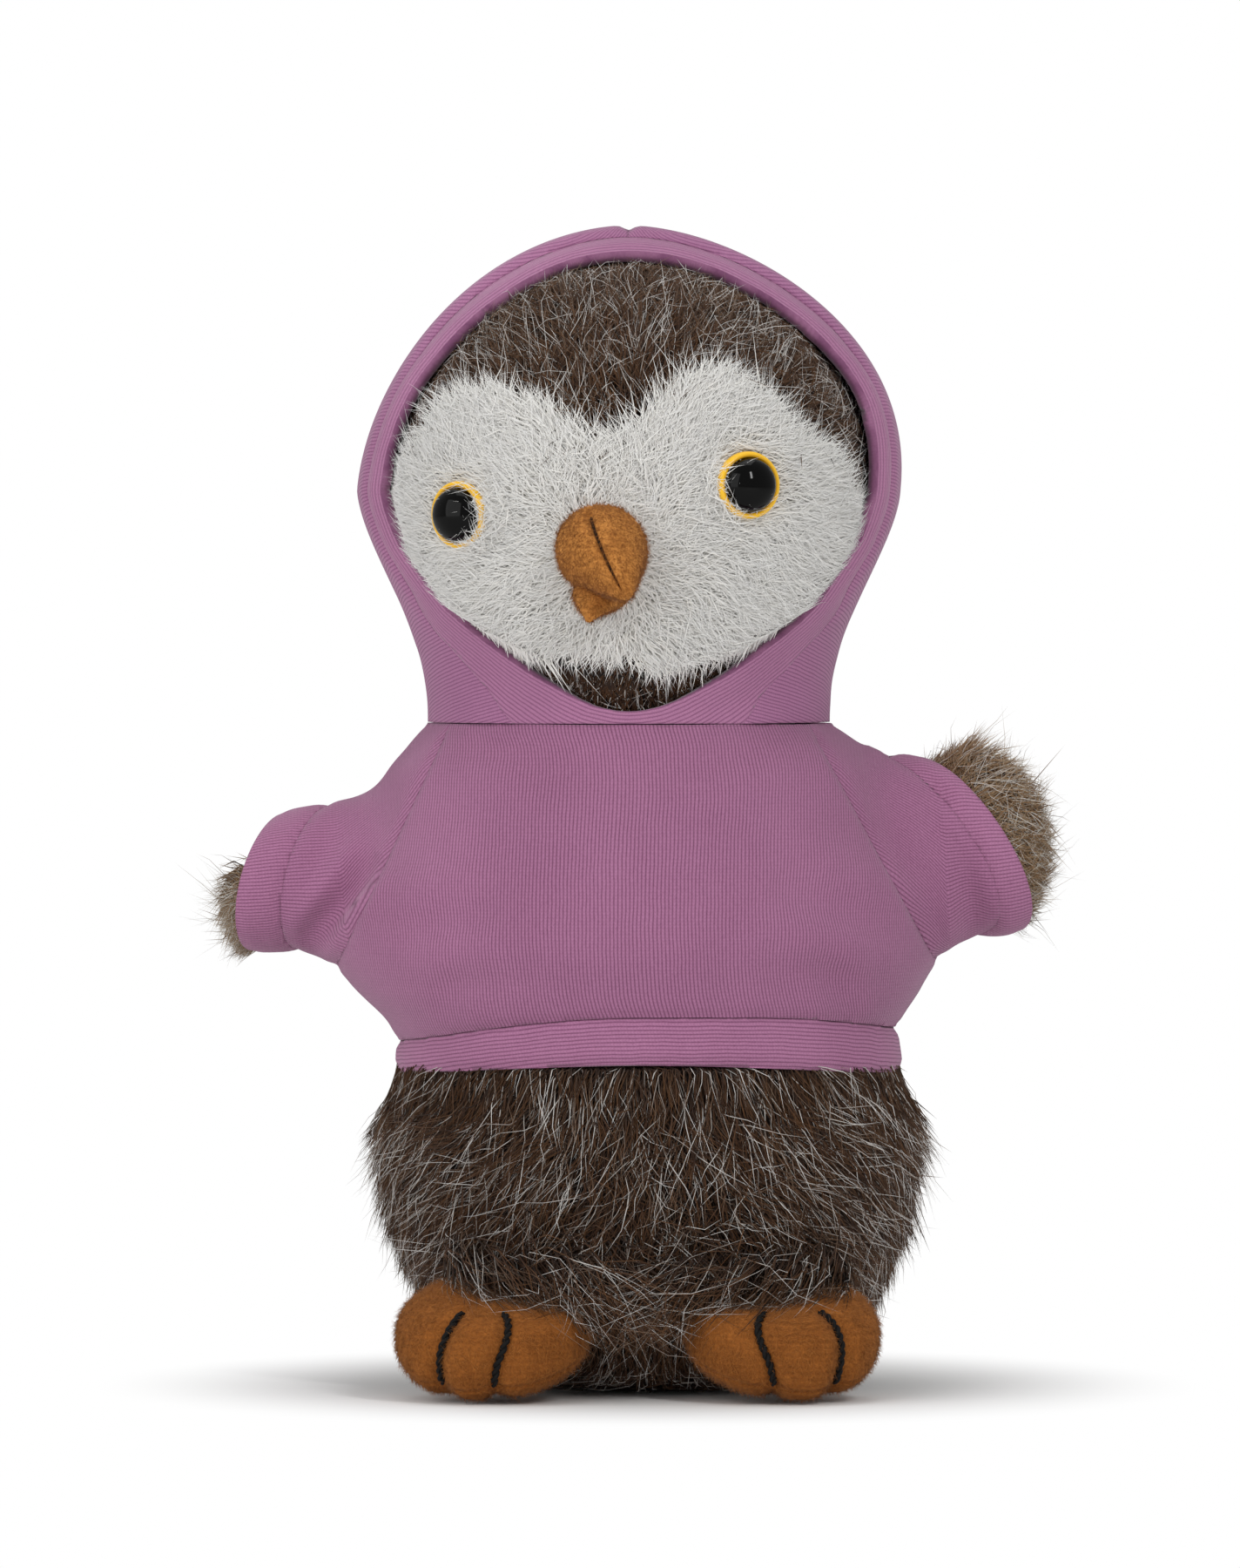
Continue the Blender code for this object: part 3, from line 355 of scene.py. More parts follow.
def even_skin(form: Object, voxel: float) -> BMesh:
    """Remesh closed forms that may overlap into one even skin.

    Args:
        form: the object that holds them; it is removed.
        voxel: the length of the new edges.

    Returns:
        The skin.
    """
    grid = form.modifiers.new("even", "REMESH")
    grid.mode = "VOXEL"
    grid.voxel_size = voxel
    view = bpy.context.evaluated_depsgraph_get()
    data = bpy.data.meshes.new_from_object(form.evaluated_get(view))
    bpy.data.objects.remove(form)
    mesh = bmesh.new()
    mesh.from_mesh(data)
    return mesh


def level_rings(heights: Array, centre: Array | float, wide: Array, deep: Array,
                sides: int) -> Array:
    """Level ellipses, one above another.

    Args:
        heights: the height of each.
        centre: the middle of each in X.
        wide: half widths.
        deep: half depths.
        sides: how many points each has.

    Returns:
        Points as (heights, sides, 3).
    """
    angle = np.linspace(0, 2 * math.pi, sides, endpoint=False)
    x = np.reshape(centre, (-1, 1)) + wide[:, None] * np.cos(angle)
    y = deep[:, None] * np.sin(angle)
    return np.stack([x, y, np.broadcast_to(heights[:, None], y.shape)], -1)


def search_tree(spots: list) -> KDTree:
    """A balanced search tree over points.

    Args:
        spots: the points, found again by their number.

    Returns:
        The tree.
    """
    tree = KDTree(max(len(spots), 1))
    for index, spot in enumerate(spots):
        tree.insert(spot, index)
    tree.balance()
    return tree


def steepness(field: Field, spots: Array,
              tiny: float) -> tuple[Array, Array, Array]:
    """How a field changes at many spots.

    Args:
        field: gives one value for each spot.
        spots: where it is read.
        tiny: the step over which its slope is read.

    Returns:
        Its values, its slopes and their squared sizes.
    """
    value = field(spots)
    slope = np.stack([(field(spots + tiny * axis) - value) / tiny for axis in np.eye(3)], 1)
    return value, slope, np.maximum((slope**2).sum(1), 0.05)


def grid_object(name: str, spots: Array) -> Object:
    """Skin closed rings of points into a mesh with both ends filled.

    Args:
        name: the object's name.
        spots: points as (rows, sides, 3).

    Returns:
        The new object.
    """
    mesh = bmesh.new()
    loops = [[mesh.verts.new(spot) for spot in row] for row in spots]
    for low, high in zip(loops, loops[1:]):
        for i in range(len(low)):
            mesh.faces.new((low[i - 1], low[i], high[i], high[i - 1]))
    mesh.faces.new(loops[0])
    mesh.faces.new(loops[-1])
    bmesh.ops.recalc_face_normals(mesh, faces=mesh.faces)
    return object_of(name, mesh)


@dataclass
class Roots:
    """Where strands grow: places on a surface with their outward directions."""

    place: Array
    normal: Array

    def keep(self, mask: Array) -> "Roots":
        """Only the roots that a mask picks."""
        return Roots(self.place[mask], self.normal[mask])


def scatter(piece: Object, count: int, seed: int, allowed: Field | None = None) -> Roots:
    """Spread roots evenly over a mesh's faces.

    Args:
        piece: the mesh object to grow on.
        count: how many roots are drawn before the mask.
        seed: the random seed.
        allowed: picks the places that may grow, from their positions.

    Returns:
        The roots.
    """
    mesh = piece.data
    mesh.calc_loop_triangles()
    corner = np.empty(len(mesh.loop_triangles) * 3, int)
    mesh.loop_triangles.foreach_get("vertices", corner)
    spots = np.empty(len(mesh.vertices) * 3)
    mesh.vertices.foreach_get("co", spots)
    normals = np.empty(len(mesh.vertices) * 3)
    mesh.vertices.foreach_get("normal", normals)
    spots, normals = spots.reshape(-1, 3), normals.reshape(-1, 3)
    corner = corner.reshape(-1, 3)
    if allowed is not None:
        corner = corner[allowed(spots[corner].mean(1))]
    a, b, c = (spots[corner[:, i]] for i in range(3))
    area = np.linalg.norm(np.cross(b - a, c - a), axis=1)
    rng = np.random.default_rng(seed)
    chosen = rng.choice(len(corner), count, p=area / area.sum())
    s, t = np.sqrt(rng.random(count)), rng.random(count)
    weights = np.stack([1 - s, s * (1 - t), s * t], 1)[:, :, None]
    place = (spots[corner[chosen]] * weights).sum(1)
    normal = unit((normals[corner[chosen]] * weights).sum(1))
    return Roots(place, normal)


@dataclass(frozen=True)
class Pile:
    """How one kind of strand grows: how many, how long and thick, and how it lies."""

    count: int
    length: float
    spread: float
    thickness: float
    lift: float
    splay: float
    curl: float
    clump: float
    rings: int
    guard: bool = False


@dataclass
class Strands:
    """Shaped strands: centre lines, thickness, tone and the skin's outward direction of each."""

    line: Array
    thickness: Array
    tone: Array
    outward: Array
    guard: bool

    def keep(self, mask: Array) -> "Strands":
        """Only the strands that a mask picks."""
        return Strands(self.line[mask], self.thickness[mask], self.tone[mask],
                       self.outward[mask], self.guard)


def grow(roots: Roots, comb: Array, pile: Pile, seed: int, scale: Array | None = None,
         droop: Array | None = None) -> Strands:
    """Shape strands from their roots.

    Args:
        roots: where they grow.
        comb: the direction in which each lies, roughly along the surface.
        pile: the kind of strand.
        seed: the random seed.
        scale: a length factor for each strand.
        droop: a further bend for each strand, as a share of its length.

    Returns:
        The strands, with centre lines as (strands, rings + 1, 3).
    """
    rng = np.random.default_rng(seed)
    count = len(roots.place)
    length = pile.length * (1 + pile.spread * rng.normal(size=count).clip(-2, 2))
    if scale is not None:
        length = length * scale
    comb = unit(comb - (comb * roots.normal).sum(1, keepdims=True) * roots.normal)
    side = np.cross(roots.normal, comb)
    turn = rng.normal(size=(count, 1)) * pile.splay
    rise = pile.lift * (1 + 0.35 * rng.normal(size=(count, 1)).clip(-2, 2))
    start = unit(roots.normal * rise + comb * np.cos(turn) + side * np.sin(turn))
    bend = comb * rng.uniform(0.1, 0.5, (count, 1))
    bend = bend + side * rng.normal(size=(count, 1)) * pile.curl - roots.normal * 0.12
    if droop is not None:
        bend = bend + droop
    along = np.linspace(0, 1, pile.rings + 1)[None, :, None]
    reach = length[:, None, None]
    line = roots.place[:, None] + reach * (start[:, None] * along + bend[:, None] * along**2)
    wobble = rng.normal(size=(count, pile.rings + 1, 3)) * (0.025 + 0.05 * pile.curl)
    line = line + wobble * reach * along
    if pile.clump > 0:
        centres = rng.choice(count, max(count // 14, 1), replace=False)
        tree = search_tree(roots.place[centres])
        nearest = centres[np.array([tree.find(spot)[1] for spot in roots.place])]
        pull = pile.clump * rng.uniform(0.4, 1.0, (count, 1, 1)) * along**1.6
        line = line + (line[nearest] - line) * pull
    tone = rng.random(count)
    if pile.guard:
        tone = smooth(tone, 0.25, 0.75)
    thickness = pile.thickness * rng.uniform(0.75, 1.2, count)
    return Strands(line, thickness, tone, roots.normal, pile.guard)


def strands_object(name: str, groups: list[Strands], soft: float) -> Object:
    """Make closed three-sided tapering strands from their centre lines.

    Args:
        name: the object's name.
        groups: the strands of each kind.
        soft: how far each strand is shaded by the skin's direction in place of its own,
            0 to 1, which is how dense fine pile takes the light.

    Returns:
        One mesh object; its UV map holds tone and length along.
    """
    all_spots, all_corners, all_totals, all_uv, all_normals, offset = [], [], [], [], [], 0
    for strands in groups:
        line, thickness, tone = strands.line, strands.thickness, strands.tone
        count, points = line.shape[:2]
        if count == 0:
            continue
        rings = points - 1
        tangent = unit(np.diff(line, axis=1, append=(2 * line[:, -1:] - line[:, -2:-1])))
        aside = unit(np.cross(tangent, np.array([0.31, 0.92, 0.24])))
        other = np.cross(tangent, aside)
        share = np.arange(rings) / rings
        taper = (1 - share**1.8) * (0.75 + 0.25 * np.minimum(share * 4, 1))
        radius = thickness[:, None] / 2 * taper[None]
        spots = np.empty((count, rings * 3 + 1, 3))
        normals = np.empty_like(spots)
        for corner in range(3):
            angle = 2 * math.pi * corner / 3
            push = aside[:, :rings] * math.cos(angle) + other[:, :rings] * math.sin(angle)
            spots[:, corner:rings * 3:3] = line[:, :rings] + push * radius[..., None]
            normals[:, corner:rings * 3:3] = push
        spots[:, -1] = line[:, -1]
        normals[:, -1] = tangent[:, -1]
        normals = unit(normals * (1 - soft) + strands.outward[:, None] * soft)
        all_normals.append(normals.reshape(-1, 3))
        faces, levels, across = [[2, 1, 0]], [[0.0, 0.0, 0.02]], [[0, 1, 0]]
        for ring in range(rings - 1):
            low, high = ring / rings, (ring + 1) / rings
            for i in range(3):
                j = (i + 1) % 3
                faces.append([ring * 3 + i, ring * 3 + j, ring * 3 + 3 + j, ring * 3 + 3 + i])
                levels.append([low, low, high, high])
                across.append([0, 1, 1, 0])
        for i in range(3):
            j = (i + 1) % 3
            faces.append([rings * 3 - 3 + i, rings * 3 - 3 + j, rings * 3])
            levels.append([(rings - 1) / rings, (rings - 1) / rings, 1.0])
            across.append([0, 1, 0.5])
        flat = np.array([i for face in faces for i in face])
        totals = np.array([len(face) for face in faces])
        stride = rings * 3 + 1
        corners = flat[None] + (np.arange(count) * stride)[:, None] + offset
        base = tone * 0.46 + (0.51 if strands.guard else 0.01)
        u = base[:, None] + 0.01 * np.array([i for row in across for i in row])[None]
        v = np.broadcast_to(np.array([i for row in levels for i in row])[None], u.shape)
        all_spots.append(spots.reshape(-1, 3))
        all_corners.append(corners.ravel())
        all_totals.append(np.tile(totals, count))
        all_uv.append(np.stack([u, v], -1).reshape(-1, 2))
        offset += count * stride
    spots, corners = np.concatenate(all_spots), np.concatenate(all_corners)
    totals, uv = np.concatenate(all_totals), np.concatenate(all_uv)
    mesh = bpy.data.meshes.new(name)
    mesh.vertices.add(len(spots))
    mesh.vertices.foreach_set("co", spots.ravel())
    mesh.loops.add(len(corners))
    mesh.loops.foreach_set("vertex_index", corners.astype(np.int32))
    mesh.polygons.add(len(totals))
    starts = np.concatenate([[0], np.cumsum(totals)[:-1]])
    mesh.polygons.foreach_set("loop_start", starts.astype(np.int32))
    mesh.update(calc_edges=True)
    layer = mesh.uv_layers.new(name="OFBake")
    layer.data.foreach_set("uv", uv.astype(np.float32).ravel())
    mesh.shade_smooth()
    if soft > 0:
        mesh.normals_split_custom_set_from_vertices(np.concatenate(all_normals))
    made = bpy.data.objects.new(name, mesh)
    bpy.context.scene.collection.objects.link(made)
    return made


def finish_piece(piece: Object, material: Material, body: Body,
                 stands_for: tuple[str, ...] = ()) -> Object:
    """Give a piece its material and body, and hide the CAD nodes it stands for.

    Args:
        piece: the piece.
        material: its material.
        body: the body it rides.
        stands_for: names of CAD nodes.

    Returns:
        The piece.
    """
    piece.data.materials.clear()
    piece.data.materials.append(material)
    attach(piece, body.value)
    if stands_for:
        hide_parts(*stands_for)
    return piece


# ---------------- body

BROWN_FUR = FurFinish(
    # Long acrylic pile, brown at the root and frosted silver towards the tip; the near-black roots
    # are partly painted shade deep in the pile
    name="frosted acrylic pile",
    under=((0.0, "#0E0704"), (0.45, "#1F1109"), (1.0, "#3D2413")),
    under_light=((0.0, "#170D07"), (0.45, "#402715"), (1.0, "#7A5330")),
    guard=((0.0, "#140B06"), (0.35, "#33200F"), (0.7, "#6B4E36"), (1.0, "#9C8670")),
    guard_light=((0.0, "#1F130B"), (0.28, "#5E4C3E"), (0.45, "#CFCAC4"), (1.0, "#FDFCFA")),
    roughness=0.6,
    sheen=0.05,
)


@dataclass(frozen=True)
class SkinFinish:
    """The knitted backing under the fur, seen only as dark depth between the strands; its dark
    colour is partly the cloth's own and partly painted shade of that depth.
    """

    name: str
    colour: str

    def make(self) -> Material:
        """Build the material: a backing cloth mottled at the 1.5 mm scale of the tufts, as painted
        shade between them.

        Returns:
            The material.
        """
        made, tree, shader = new_material(self.name, {"Roughness": 0.95})
        where = add_node(tree, "TexCoord").outputs["Object"]
        noise = add_node(tree, "TexNoise", named={"Vector": where, "Scale": 700.0})
        # Painted shade between the tufts: the colour is multiplied by 0.75 to 1.25 along the noise.
        dark = add_node(tree, "Math", noise, 0.5, 0.75, operation="MULTIPLY_ADD")
        mixed = add_node(tree, "Mix", data_type="RGBA", blend_type="MULTIPLY",
                         named={0: 1.0, 6: linear(self.colour), 7: dark})
        fill(tree, shader, {"Base Color": mixed.outputs[2]})
        return made


@dataclass
class FurBody:
    """The stuffed body with its long pile."""

    inset: float = 0.6 * MM
    top: float = 53.5 * MM
    sides: int = 96
    # Count, length, its spread, thickness, lift, splay, curl, clump and rings of each strand
    under: Pile = Pile(28000, 7.0 * MM, 0.2, 0.34 * MM, 0.8, 0.4, 0.35, 0.55, 2)
    guard: Pile = Pile(9300, 8.2 * MM, 0.24, 0.18 * MM, 0.72, 0.3, 0.55, 0.45, 4, True)
    fringe: tuple[Pile, ...] = (
        Pile(1500, 14.5 * MM, 0.26, 0.36 * MM, 1.2, 0.5, 0.35, 0.45, 3),
        Pile(600, 15.0 * MM, 0.26, 0.18 * MM, 1.2, 0.6, 0.55, 0.3, 4, True),
    )

    def skin(self) -> Object:
        """The closed backing form, a little inside the CAD skin.

        Returns:
            Its object.
        """
        shares = [0.0, 0.004], np.linspace(0.02, 0.2, 10), np.linspace(0.23, 1, 36)
        heights = NECK * np.concatenate(shares)
        levels = np.minimum(heights, NECK - 0.3 * MM)
        return grid_object("body_backing", level_rings(
            levels, 0.0, *body_halves(heights, -self.inset), self.sides))

    @staticmethod
    def comb(roots: Roots) -> Array:
        """The lie of the pile: down, fanning outwards on the belly, curly in its middle.

        Args:
            roots: where it grows.

        Returns:
            One direction for each root.
        """
        x, y, z = roots.place.T
        front = smooth(-y, -5 * MM, 20 * MM)
        fan = np.clip(x / (24 * MM), -1, 1) * 1.15 * (0.35 + 0.65 * front)
        low = (1 - smooth(z, 2 * MM, 16 * MM))[:, None]
        high = smooth(z, 42 * MM, 49 * MM)[:, None]
        inward = -unit(np.stack([x, y, 0 * x], 1))
        sideways = np.array([0.9, 0, 0]) * fan[:, None]
        return np.array([0, 0, -1.0]) * (1 + 1.5 * high) + sideways + inward * low * 0.3

    def over_feet(self, skin: Object, sign: int) -> list[Strands]:
        """Long pile that hangs forward over the top of one foot.

        Args:
            skin: the body's backing.
            sign: -1 for the left foot, 1 for the right.

        Returns:
            The strands of each kind, laid on the foot and clear of the floor.
        """
        def shown(spots: Array) -> Array:
            """Which spots lie above the foot."""
            x, y, z = spots.T
            above = (y < 0) & (z > 12 * MM) & (z < 24 * MM)
            return above & (x * sign > 5 * MM) & (np.abs(x) < 29 * MM)

        made = []
        for number, pile in enumerate(self.fringe):
            roots = scatter(skin, pile.count, 61 + number, shown)
            noise = np.random.default_rng(63 + number).normal(size=roots.place.shape)
            comb = np.array([-0.12 * sign, -1.0, -0.7]) + noise * 0.35
            strands = grow(roots, comb, pile, 65 + number, None, np.array([0, 0, -0.28]))
            strands.line = FEET[sign > 0].lay_on(strands.line)
            lowest, widest = strands.line[..., 2].min(1), np.abs(strands.line[..., 0]).max(1)
            made.append(strands.keep((lowest > 6 * MM) & (widest < 31 * MM)))
        return made

    def strands(self, here: Roots, pile: Pile, number: int) -> Strands:
        """The pile of one part of the body.

        Args:
            here: its roots.
            pile: the kind of strand.
            number: which kind it is, for its seed.

        Returns:
            The strands: short over the feet, drooping under the waistband, off the floor.
        """
        x, y, z = here.place.T
        middle = (x / (14 * MM)) ** 2 + ((z - 26 * MM) / (13 * MM)) ** 2
        mess = 0.16 + 1.0 * np.exp(-middle) * (y < 0)
        rng = np.random.default_rng(20 + number)
        comb = self.comb(here) + rng.normal(size=(len(x), 3)) * mess[:, None]
        high = smooth(z, 42 * MM, 49 * MM)
        tuft = np.exp(-((x / (13 * MM)) ** 4)) * (y < 0)
        low = (1 - smooth(z, 4 * MM, 21 * MM)) * (1 - tuft)
        outer = smooth(np.abs(x), 27 * MM, 33 * MM) * (1 - smooth(z, 20 * MM, 31 * MM))
        scale = (1 - 0.25 * high - 0.55 * low) * (1 - 0.3 * outer)
        droop = np.array([0, 0, -0.45]) * high[:, None]
        made = grow(here, comb, pile, 30 + number, scale, droop)
        level = made.line[..., 2]
        level -= np.maximum(level - 48.5 * MM, 0) * 0.8
        made.line[..., 2] = np.maximum(level, rng.uniform(0.4, 3.4, (len(x), 1)) * MM)
        return made

    def grow_pile(self, skin: Object) -> list[Object]:
        """Grow the pile in four pieces, each under 200,000 triangles.

        Args:
            skin: the body's backing.

        Returns:
            The pieces.
        """
        kinds = [(scatter(skin, pile.count, 11 + number, lambda p: (p[:, 2] < self.top)
                          & (p[:, 2] > 1.2 * MM)), pile)
                 for number, pile in enumerate((self.under, self.guard))]
        made = []
        for label, sx, sy in (("front_left", -1, -1), ("front_right", 1, -1),
                              ("back_left", -1, 1), ("back_right", 1, 1)):
            groups = []
            for number, (roots, pile) in enumerate(kinds):
                x, y, _ = roots.place.T
                groups.append(self.strands(roots.keep((x * sx >= 0) & (y * sy > 0)), pile, number))
            if sy < 0:
                groups.extend(self.over_feet(skin, sx))
            made.append(strands_object("body_pile_" + label, groups, 0.35))
        return made

    def build(self) -> None:
        """Build and dress the body."""
        skin = self.skin()
        pile = self.grow_pile(skin)
        fur = BROWN_FUR.make()
        # The backing's near-black colour is partly painted shade of the depth between the strands.
        finish_piece(skin, SkinFinish("brown backing cloth", "#1B120D").make(), Body.TORSO,
                     ("body_skin",))
        for piece in pile:
            finish_piece(piece, fur, Body.TORSO)
        LOG.info("body: %d strands", self.under.count + self.guard.count)


# ---------------- knitted cloth

@dataclass(frozen=True)
class KnitFinish:
    """Single jersey knit: raised columns of small V stitches with dark lines between them, which
    are painted shade.

    The columns stand 0.58 mm apart and the rows 0.48 mm, as counted in the photograph.
    """

    name: str
    valley: str
    ridge: str
    wale: float = 0.58
    course: float = 0.48
    relief: float = 0.10 * MM

    def make(self) -> Material:
        """Build the material on the cloth's own UV map, which is in millimetres.

        The columns drift over 6 mm, the lint is 0.4 mm and the worn patches 20 mm across.

        Returns:
            The material.
        """
        made, tree, shader = new_material(self.name, {
            "Roughness": 0.92, "Specular IOR Level": 0.2,
            "Sheen Weight": 0.22, "Sheen Roughness": 0.45})
        uv = add_node(tree, "UVMap", uv_map="cloth")
        across, along = add_node(tree, "SeparateXYZ", uv).outputs[:2]
        where = add_node(tree, "TexCoord").outputs["Object"]
        drift, fuzz, wear = (
            add_node(tree, "TexNoise", named={"Vector": where, "Scale": scale, "Detail": detail})
            for scale, detail in ((160.0, 2.0), (2600.0, 3.0), (45.0, 4.0)))
        shift = add_node(tree, "Math", drift, 0.5, -0.25, operation="MULTIPLY_ADD")
        moved = add_node(tree, "Math", across, shift, operation="ADD")
        column = add_node(tree, "Math", moved, self.wale, operation="DIVIDE")
        share = add_node(tree, "Math", column, operation="FRACT")
        centred = add_node(tree, "Math", share, 0.5, operation="SUBTRACT")
        half = add_node(tree, "Math", centred, operation="ABSOLUTE")
        leg = add_node(tree, "Math", half, 2.0, operation="MULTIPLY")
        side = add_node(tree, "Math", leg, 2.6, operation="POWER")
        arch = add_node(tree, "Math", 1.0, side, operation="SUBTRACT")
        row = add_node(tree, "Math", along, self.course, operation="DIVIDE")
        slant = add_node(tree, "Math", leg, -0.6, row, operation="MULTIPLY_ADD")
        phase = add_node(tree, "Math", slant, 2 * math.pi, operation="MULTIPLY")
        beat = add_node(tree, "Math", phase, operation="COSINE")
        stitch = add_node(tree, "Math", beat, 0.11, 0.82, operation="MULTIPLY_ADD")
        height = add_node(tree, "Math", arch, stitch, operation="MULTIPLY")
        lint = add_node(tree, "Math", fuzz, 0.5, -0.25, operation="MULTIPLY_ADD")
        patch = add_node(tree, "Math", wear, 0.5, -0.25, operation="MULTIPLY_ADD")
        level = add_node(tree, "Math", lint, height, operation="ADD")
        level = add_node(tree, "Math", level, patch, operation="ADD")
        # Colour follows the stitches' height: painted shade in the valleys between columns, lighter
        # on the raised stitches.
        colour = add_node(tree, "ValToRGB", level, stops=((0.0, self.valley), (1.0, self.ridge)))
        depth = add_node(tree, "Math", fuzz, 0.35, height, operation="MULTIPLY_ADD")
        bump = add_node(tree, "Bump", named={
            "Strength": 0.8, "Distance": self.relief, "Height": depth})
        fill(tree, shader, {"Base Color": colour, "Normal": bump})
        return made


@dataclass(frozen=True)
class Crease:
    """One soft fold in the cloth, from one point to another in X and Z, on front or back."""

    start: tuple[float, float]
    end: tuple[float, float]
    width: float
    depth: float
    face: int = -1

    def push(self, spots: Array) -> Array:
        """How far each spot moves outwards, with a low ridge beside each valley.

        Args:
            spots: points of the cloth.

        Returns:
            One distance each; negative is a valley.
        """
        a, b = np.array(self.start) * MM, np.array(self.end) * MM
        flat = spots[:, [0, 2]] - a
        along = np.clip(flat @ (b - a) / ((b - a) @ (b - a)), -0.25, 1.25)
        away = np.linalg.norm(flat - along[:, None] * (b - a), axis=1) / (self.width * MM)
        ends = np.sin(np.clip((along + 0.25) / 1.5, 0, 1) * math.pi) ** 0.7
        on_face = smooth(spots[:, 1] * self.face, -2 * MM, 4 * MM)
        shape = np.exp(-away**2) - 0.45 * np.exp(-((away - 1.9) / 0.9) ** 2)
        return self.depth * MM * shape * ends * on_face


@dataclass(frozen=True)
class Arm:
    """Where one sleeve turns, which way it points and where its cuff ends."""

    label: str
    body: Body
    sign: int
    pivot: tuple[float, float, float]
    rise: float
    root_half: float
    end_half: float
    deep_half: float
    cuff_normal: tuple[float, float, float]
    cuff_along: float
    hem: float
    armpit: tuple[float, float]

    def axes(self) -> tuple[Array, Array, Array]:
        """The arm's own directions.

        Returns:
            The pivot, the direction outwards and the direction upwards across it.
        """
        angle = math.radians(self.rise)
        out = np.array([self.sign * math.cos(angle), 0, math.sin(angle)])
        up = np.array([-self.sign * math.sin(angle), 0, math.cos(angle)])
        return np.array(self.pivot), out, up

    def frame(self, spots: Array) -> tuple[Array, Array, Array]:
        """Measure spots in the arm's own directions.

        Args:
            spots: the points.

        Returns:
            Their distances along the sleeve, above its axis, and in depth.
        """
        pivot, out, up = self.axes()
        local = spots - pivot
        return local @ out, local @ up, local[:, 1]

    def halves(self, along: Array) -> tuple[Array, Array]:
        """The sleeve's half height and half depth along its axis."""
        t = smooth(along, -4 * MM, 22 * MM)
        high = self.root_half + (self.end_half - self.root_half) * t
        return high, self.deep_half * (1.05 - 0.09 * t)

    def field(self, spots: Array) -> Array:
        """Roughly how far each spot lies outside the sleeve's tube.

        Args:
            spots: the points.

        Returns:
            One distance each.
        """
        along, above, deep = self.frame(spots)
        high, wide = self.halves(along)
        tube = (np.sqrt((above / high) ** 2 + (deep / wide) ** 2) - 1) * np.minimum(high, wide)
        return tube + np.maximum(-along - 2 * MM, 0)

    def raglan(self) -> tuple[Array, Array]:
        """Where the raglan seam runs.

        Returns:
            A point on it and the unit direction from torso to sleeve, in X and Z.
        """
        centre, wide, _ = shirt_halves(np.array([NECK]))
        top = np.array([centre[0] + self.sign * wide[0] * 0.88, NECK])
        low = np.array(self.armpit) * MM
        down = (low - top) / np.linalg.norm(low - top)
        return low, np.array([down[1], -down[0]]) * -self.sign

    def rings(self, along: Array, high: Array, deep: Array, sides: int) -> Array:
        """Ellipses square to the arm.

        Args:
            along: where each stands on its axis.
            high: half heights.
            deep: half depths.
            sides: how many points each has.

        Returns:
            Points as (along, sides, 3).
        """
        pivot, out, up = self.axes()
        angle = np.linspace(0, 2 * math.pi, sides, endpoint=False)
        ring = np.cos(angle)[None, :, None] * up * high[:, None, None]
        ring = ring + np.sin(angle)[None, :, None] * np.array([0, 1, 0]) * deep[:, None, None]
        return pivot + out * along[:, None, None] + ring

    def cuff_plane(self) -> tuple[Array, Array]:
        """A point on the plane of the cuff's rim and its outward direction."""
        edge = np.array(self.pivot) + np.array([self.sign * self.cuff_along, 0, 0])
        return edge, np.array(self.cuff_normal) / np.linalg.norm(self.cuff_normal)

    def beyond_cuff(self, spots: Array, reach: float) -> Array:
        """How far each spot lies beyond a plane that stands reach inside the cuff's rim."""
        edge, normal = self.cuff_plane()
        return (spots - edge) @ normal + reach

    def in_sleeve(self, spots: Array) -> Array:
        """Which spots of the sweatshirt lie on the sleeve's side of the raglan seam."""
        low, across = self.raglan()
        return ((spots[:, [0, 2]] - low) @ across > 0) & (spots[:, 2] > low[1])

    def near_cuff(self, spots: Array, reach: float) -> Array:
        """Which spots lie on the arm and beyond the plane inside the cuff's rim."""
        along, _, deep = self.frame(spots)
        return (along > MM) & (np.abs(deep) < 13.5 * MM) & (self.beyond_cuff(spots, reach) > 0)


LEFT_ARM = Arm("left", Body.LEFT_WING, -1, (-0.037977647, 0, 0.077), -4, 12.6 * MM, 10.6 * MM,
               11.6 * MM, (-1.0, 0.36, 0.19), 19.3 * MM, 6.2 * MM, (-47.4, 62.8))
RIGHT_ARM = Arm("right", Body.RIGHT_WING, 1, (0.036335114, 0, 0.0805), 4, 14.6 * MM, 14.0 * MM,
                11.8 * MM, (1.0, 0.58, 0.55), 12.2 * MM, 4.4 * MM, (43.4, 64.2))
ARMS = (LEFT_ARM, RIGHT_ARM)


def seam_height(across: Array) -> Array:
    """The waist seam's height, which rises in the middle of the front."""
    middle = (51.2 + 5.3 * np.cos(across / WAIST_WAVE * math.pi)) * MM
    return middle + 1.9 * MM * smooth(across, 0, 35 * MM)


def hem_height(across: Array) -> Array:
    """The waistband's lower edge."""
    return (47.2 + 2.3 * np.cos(across / WAIST_WAVE * math.pi)) * MM


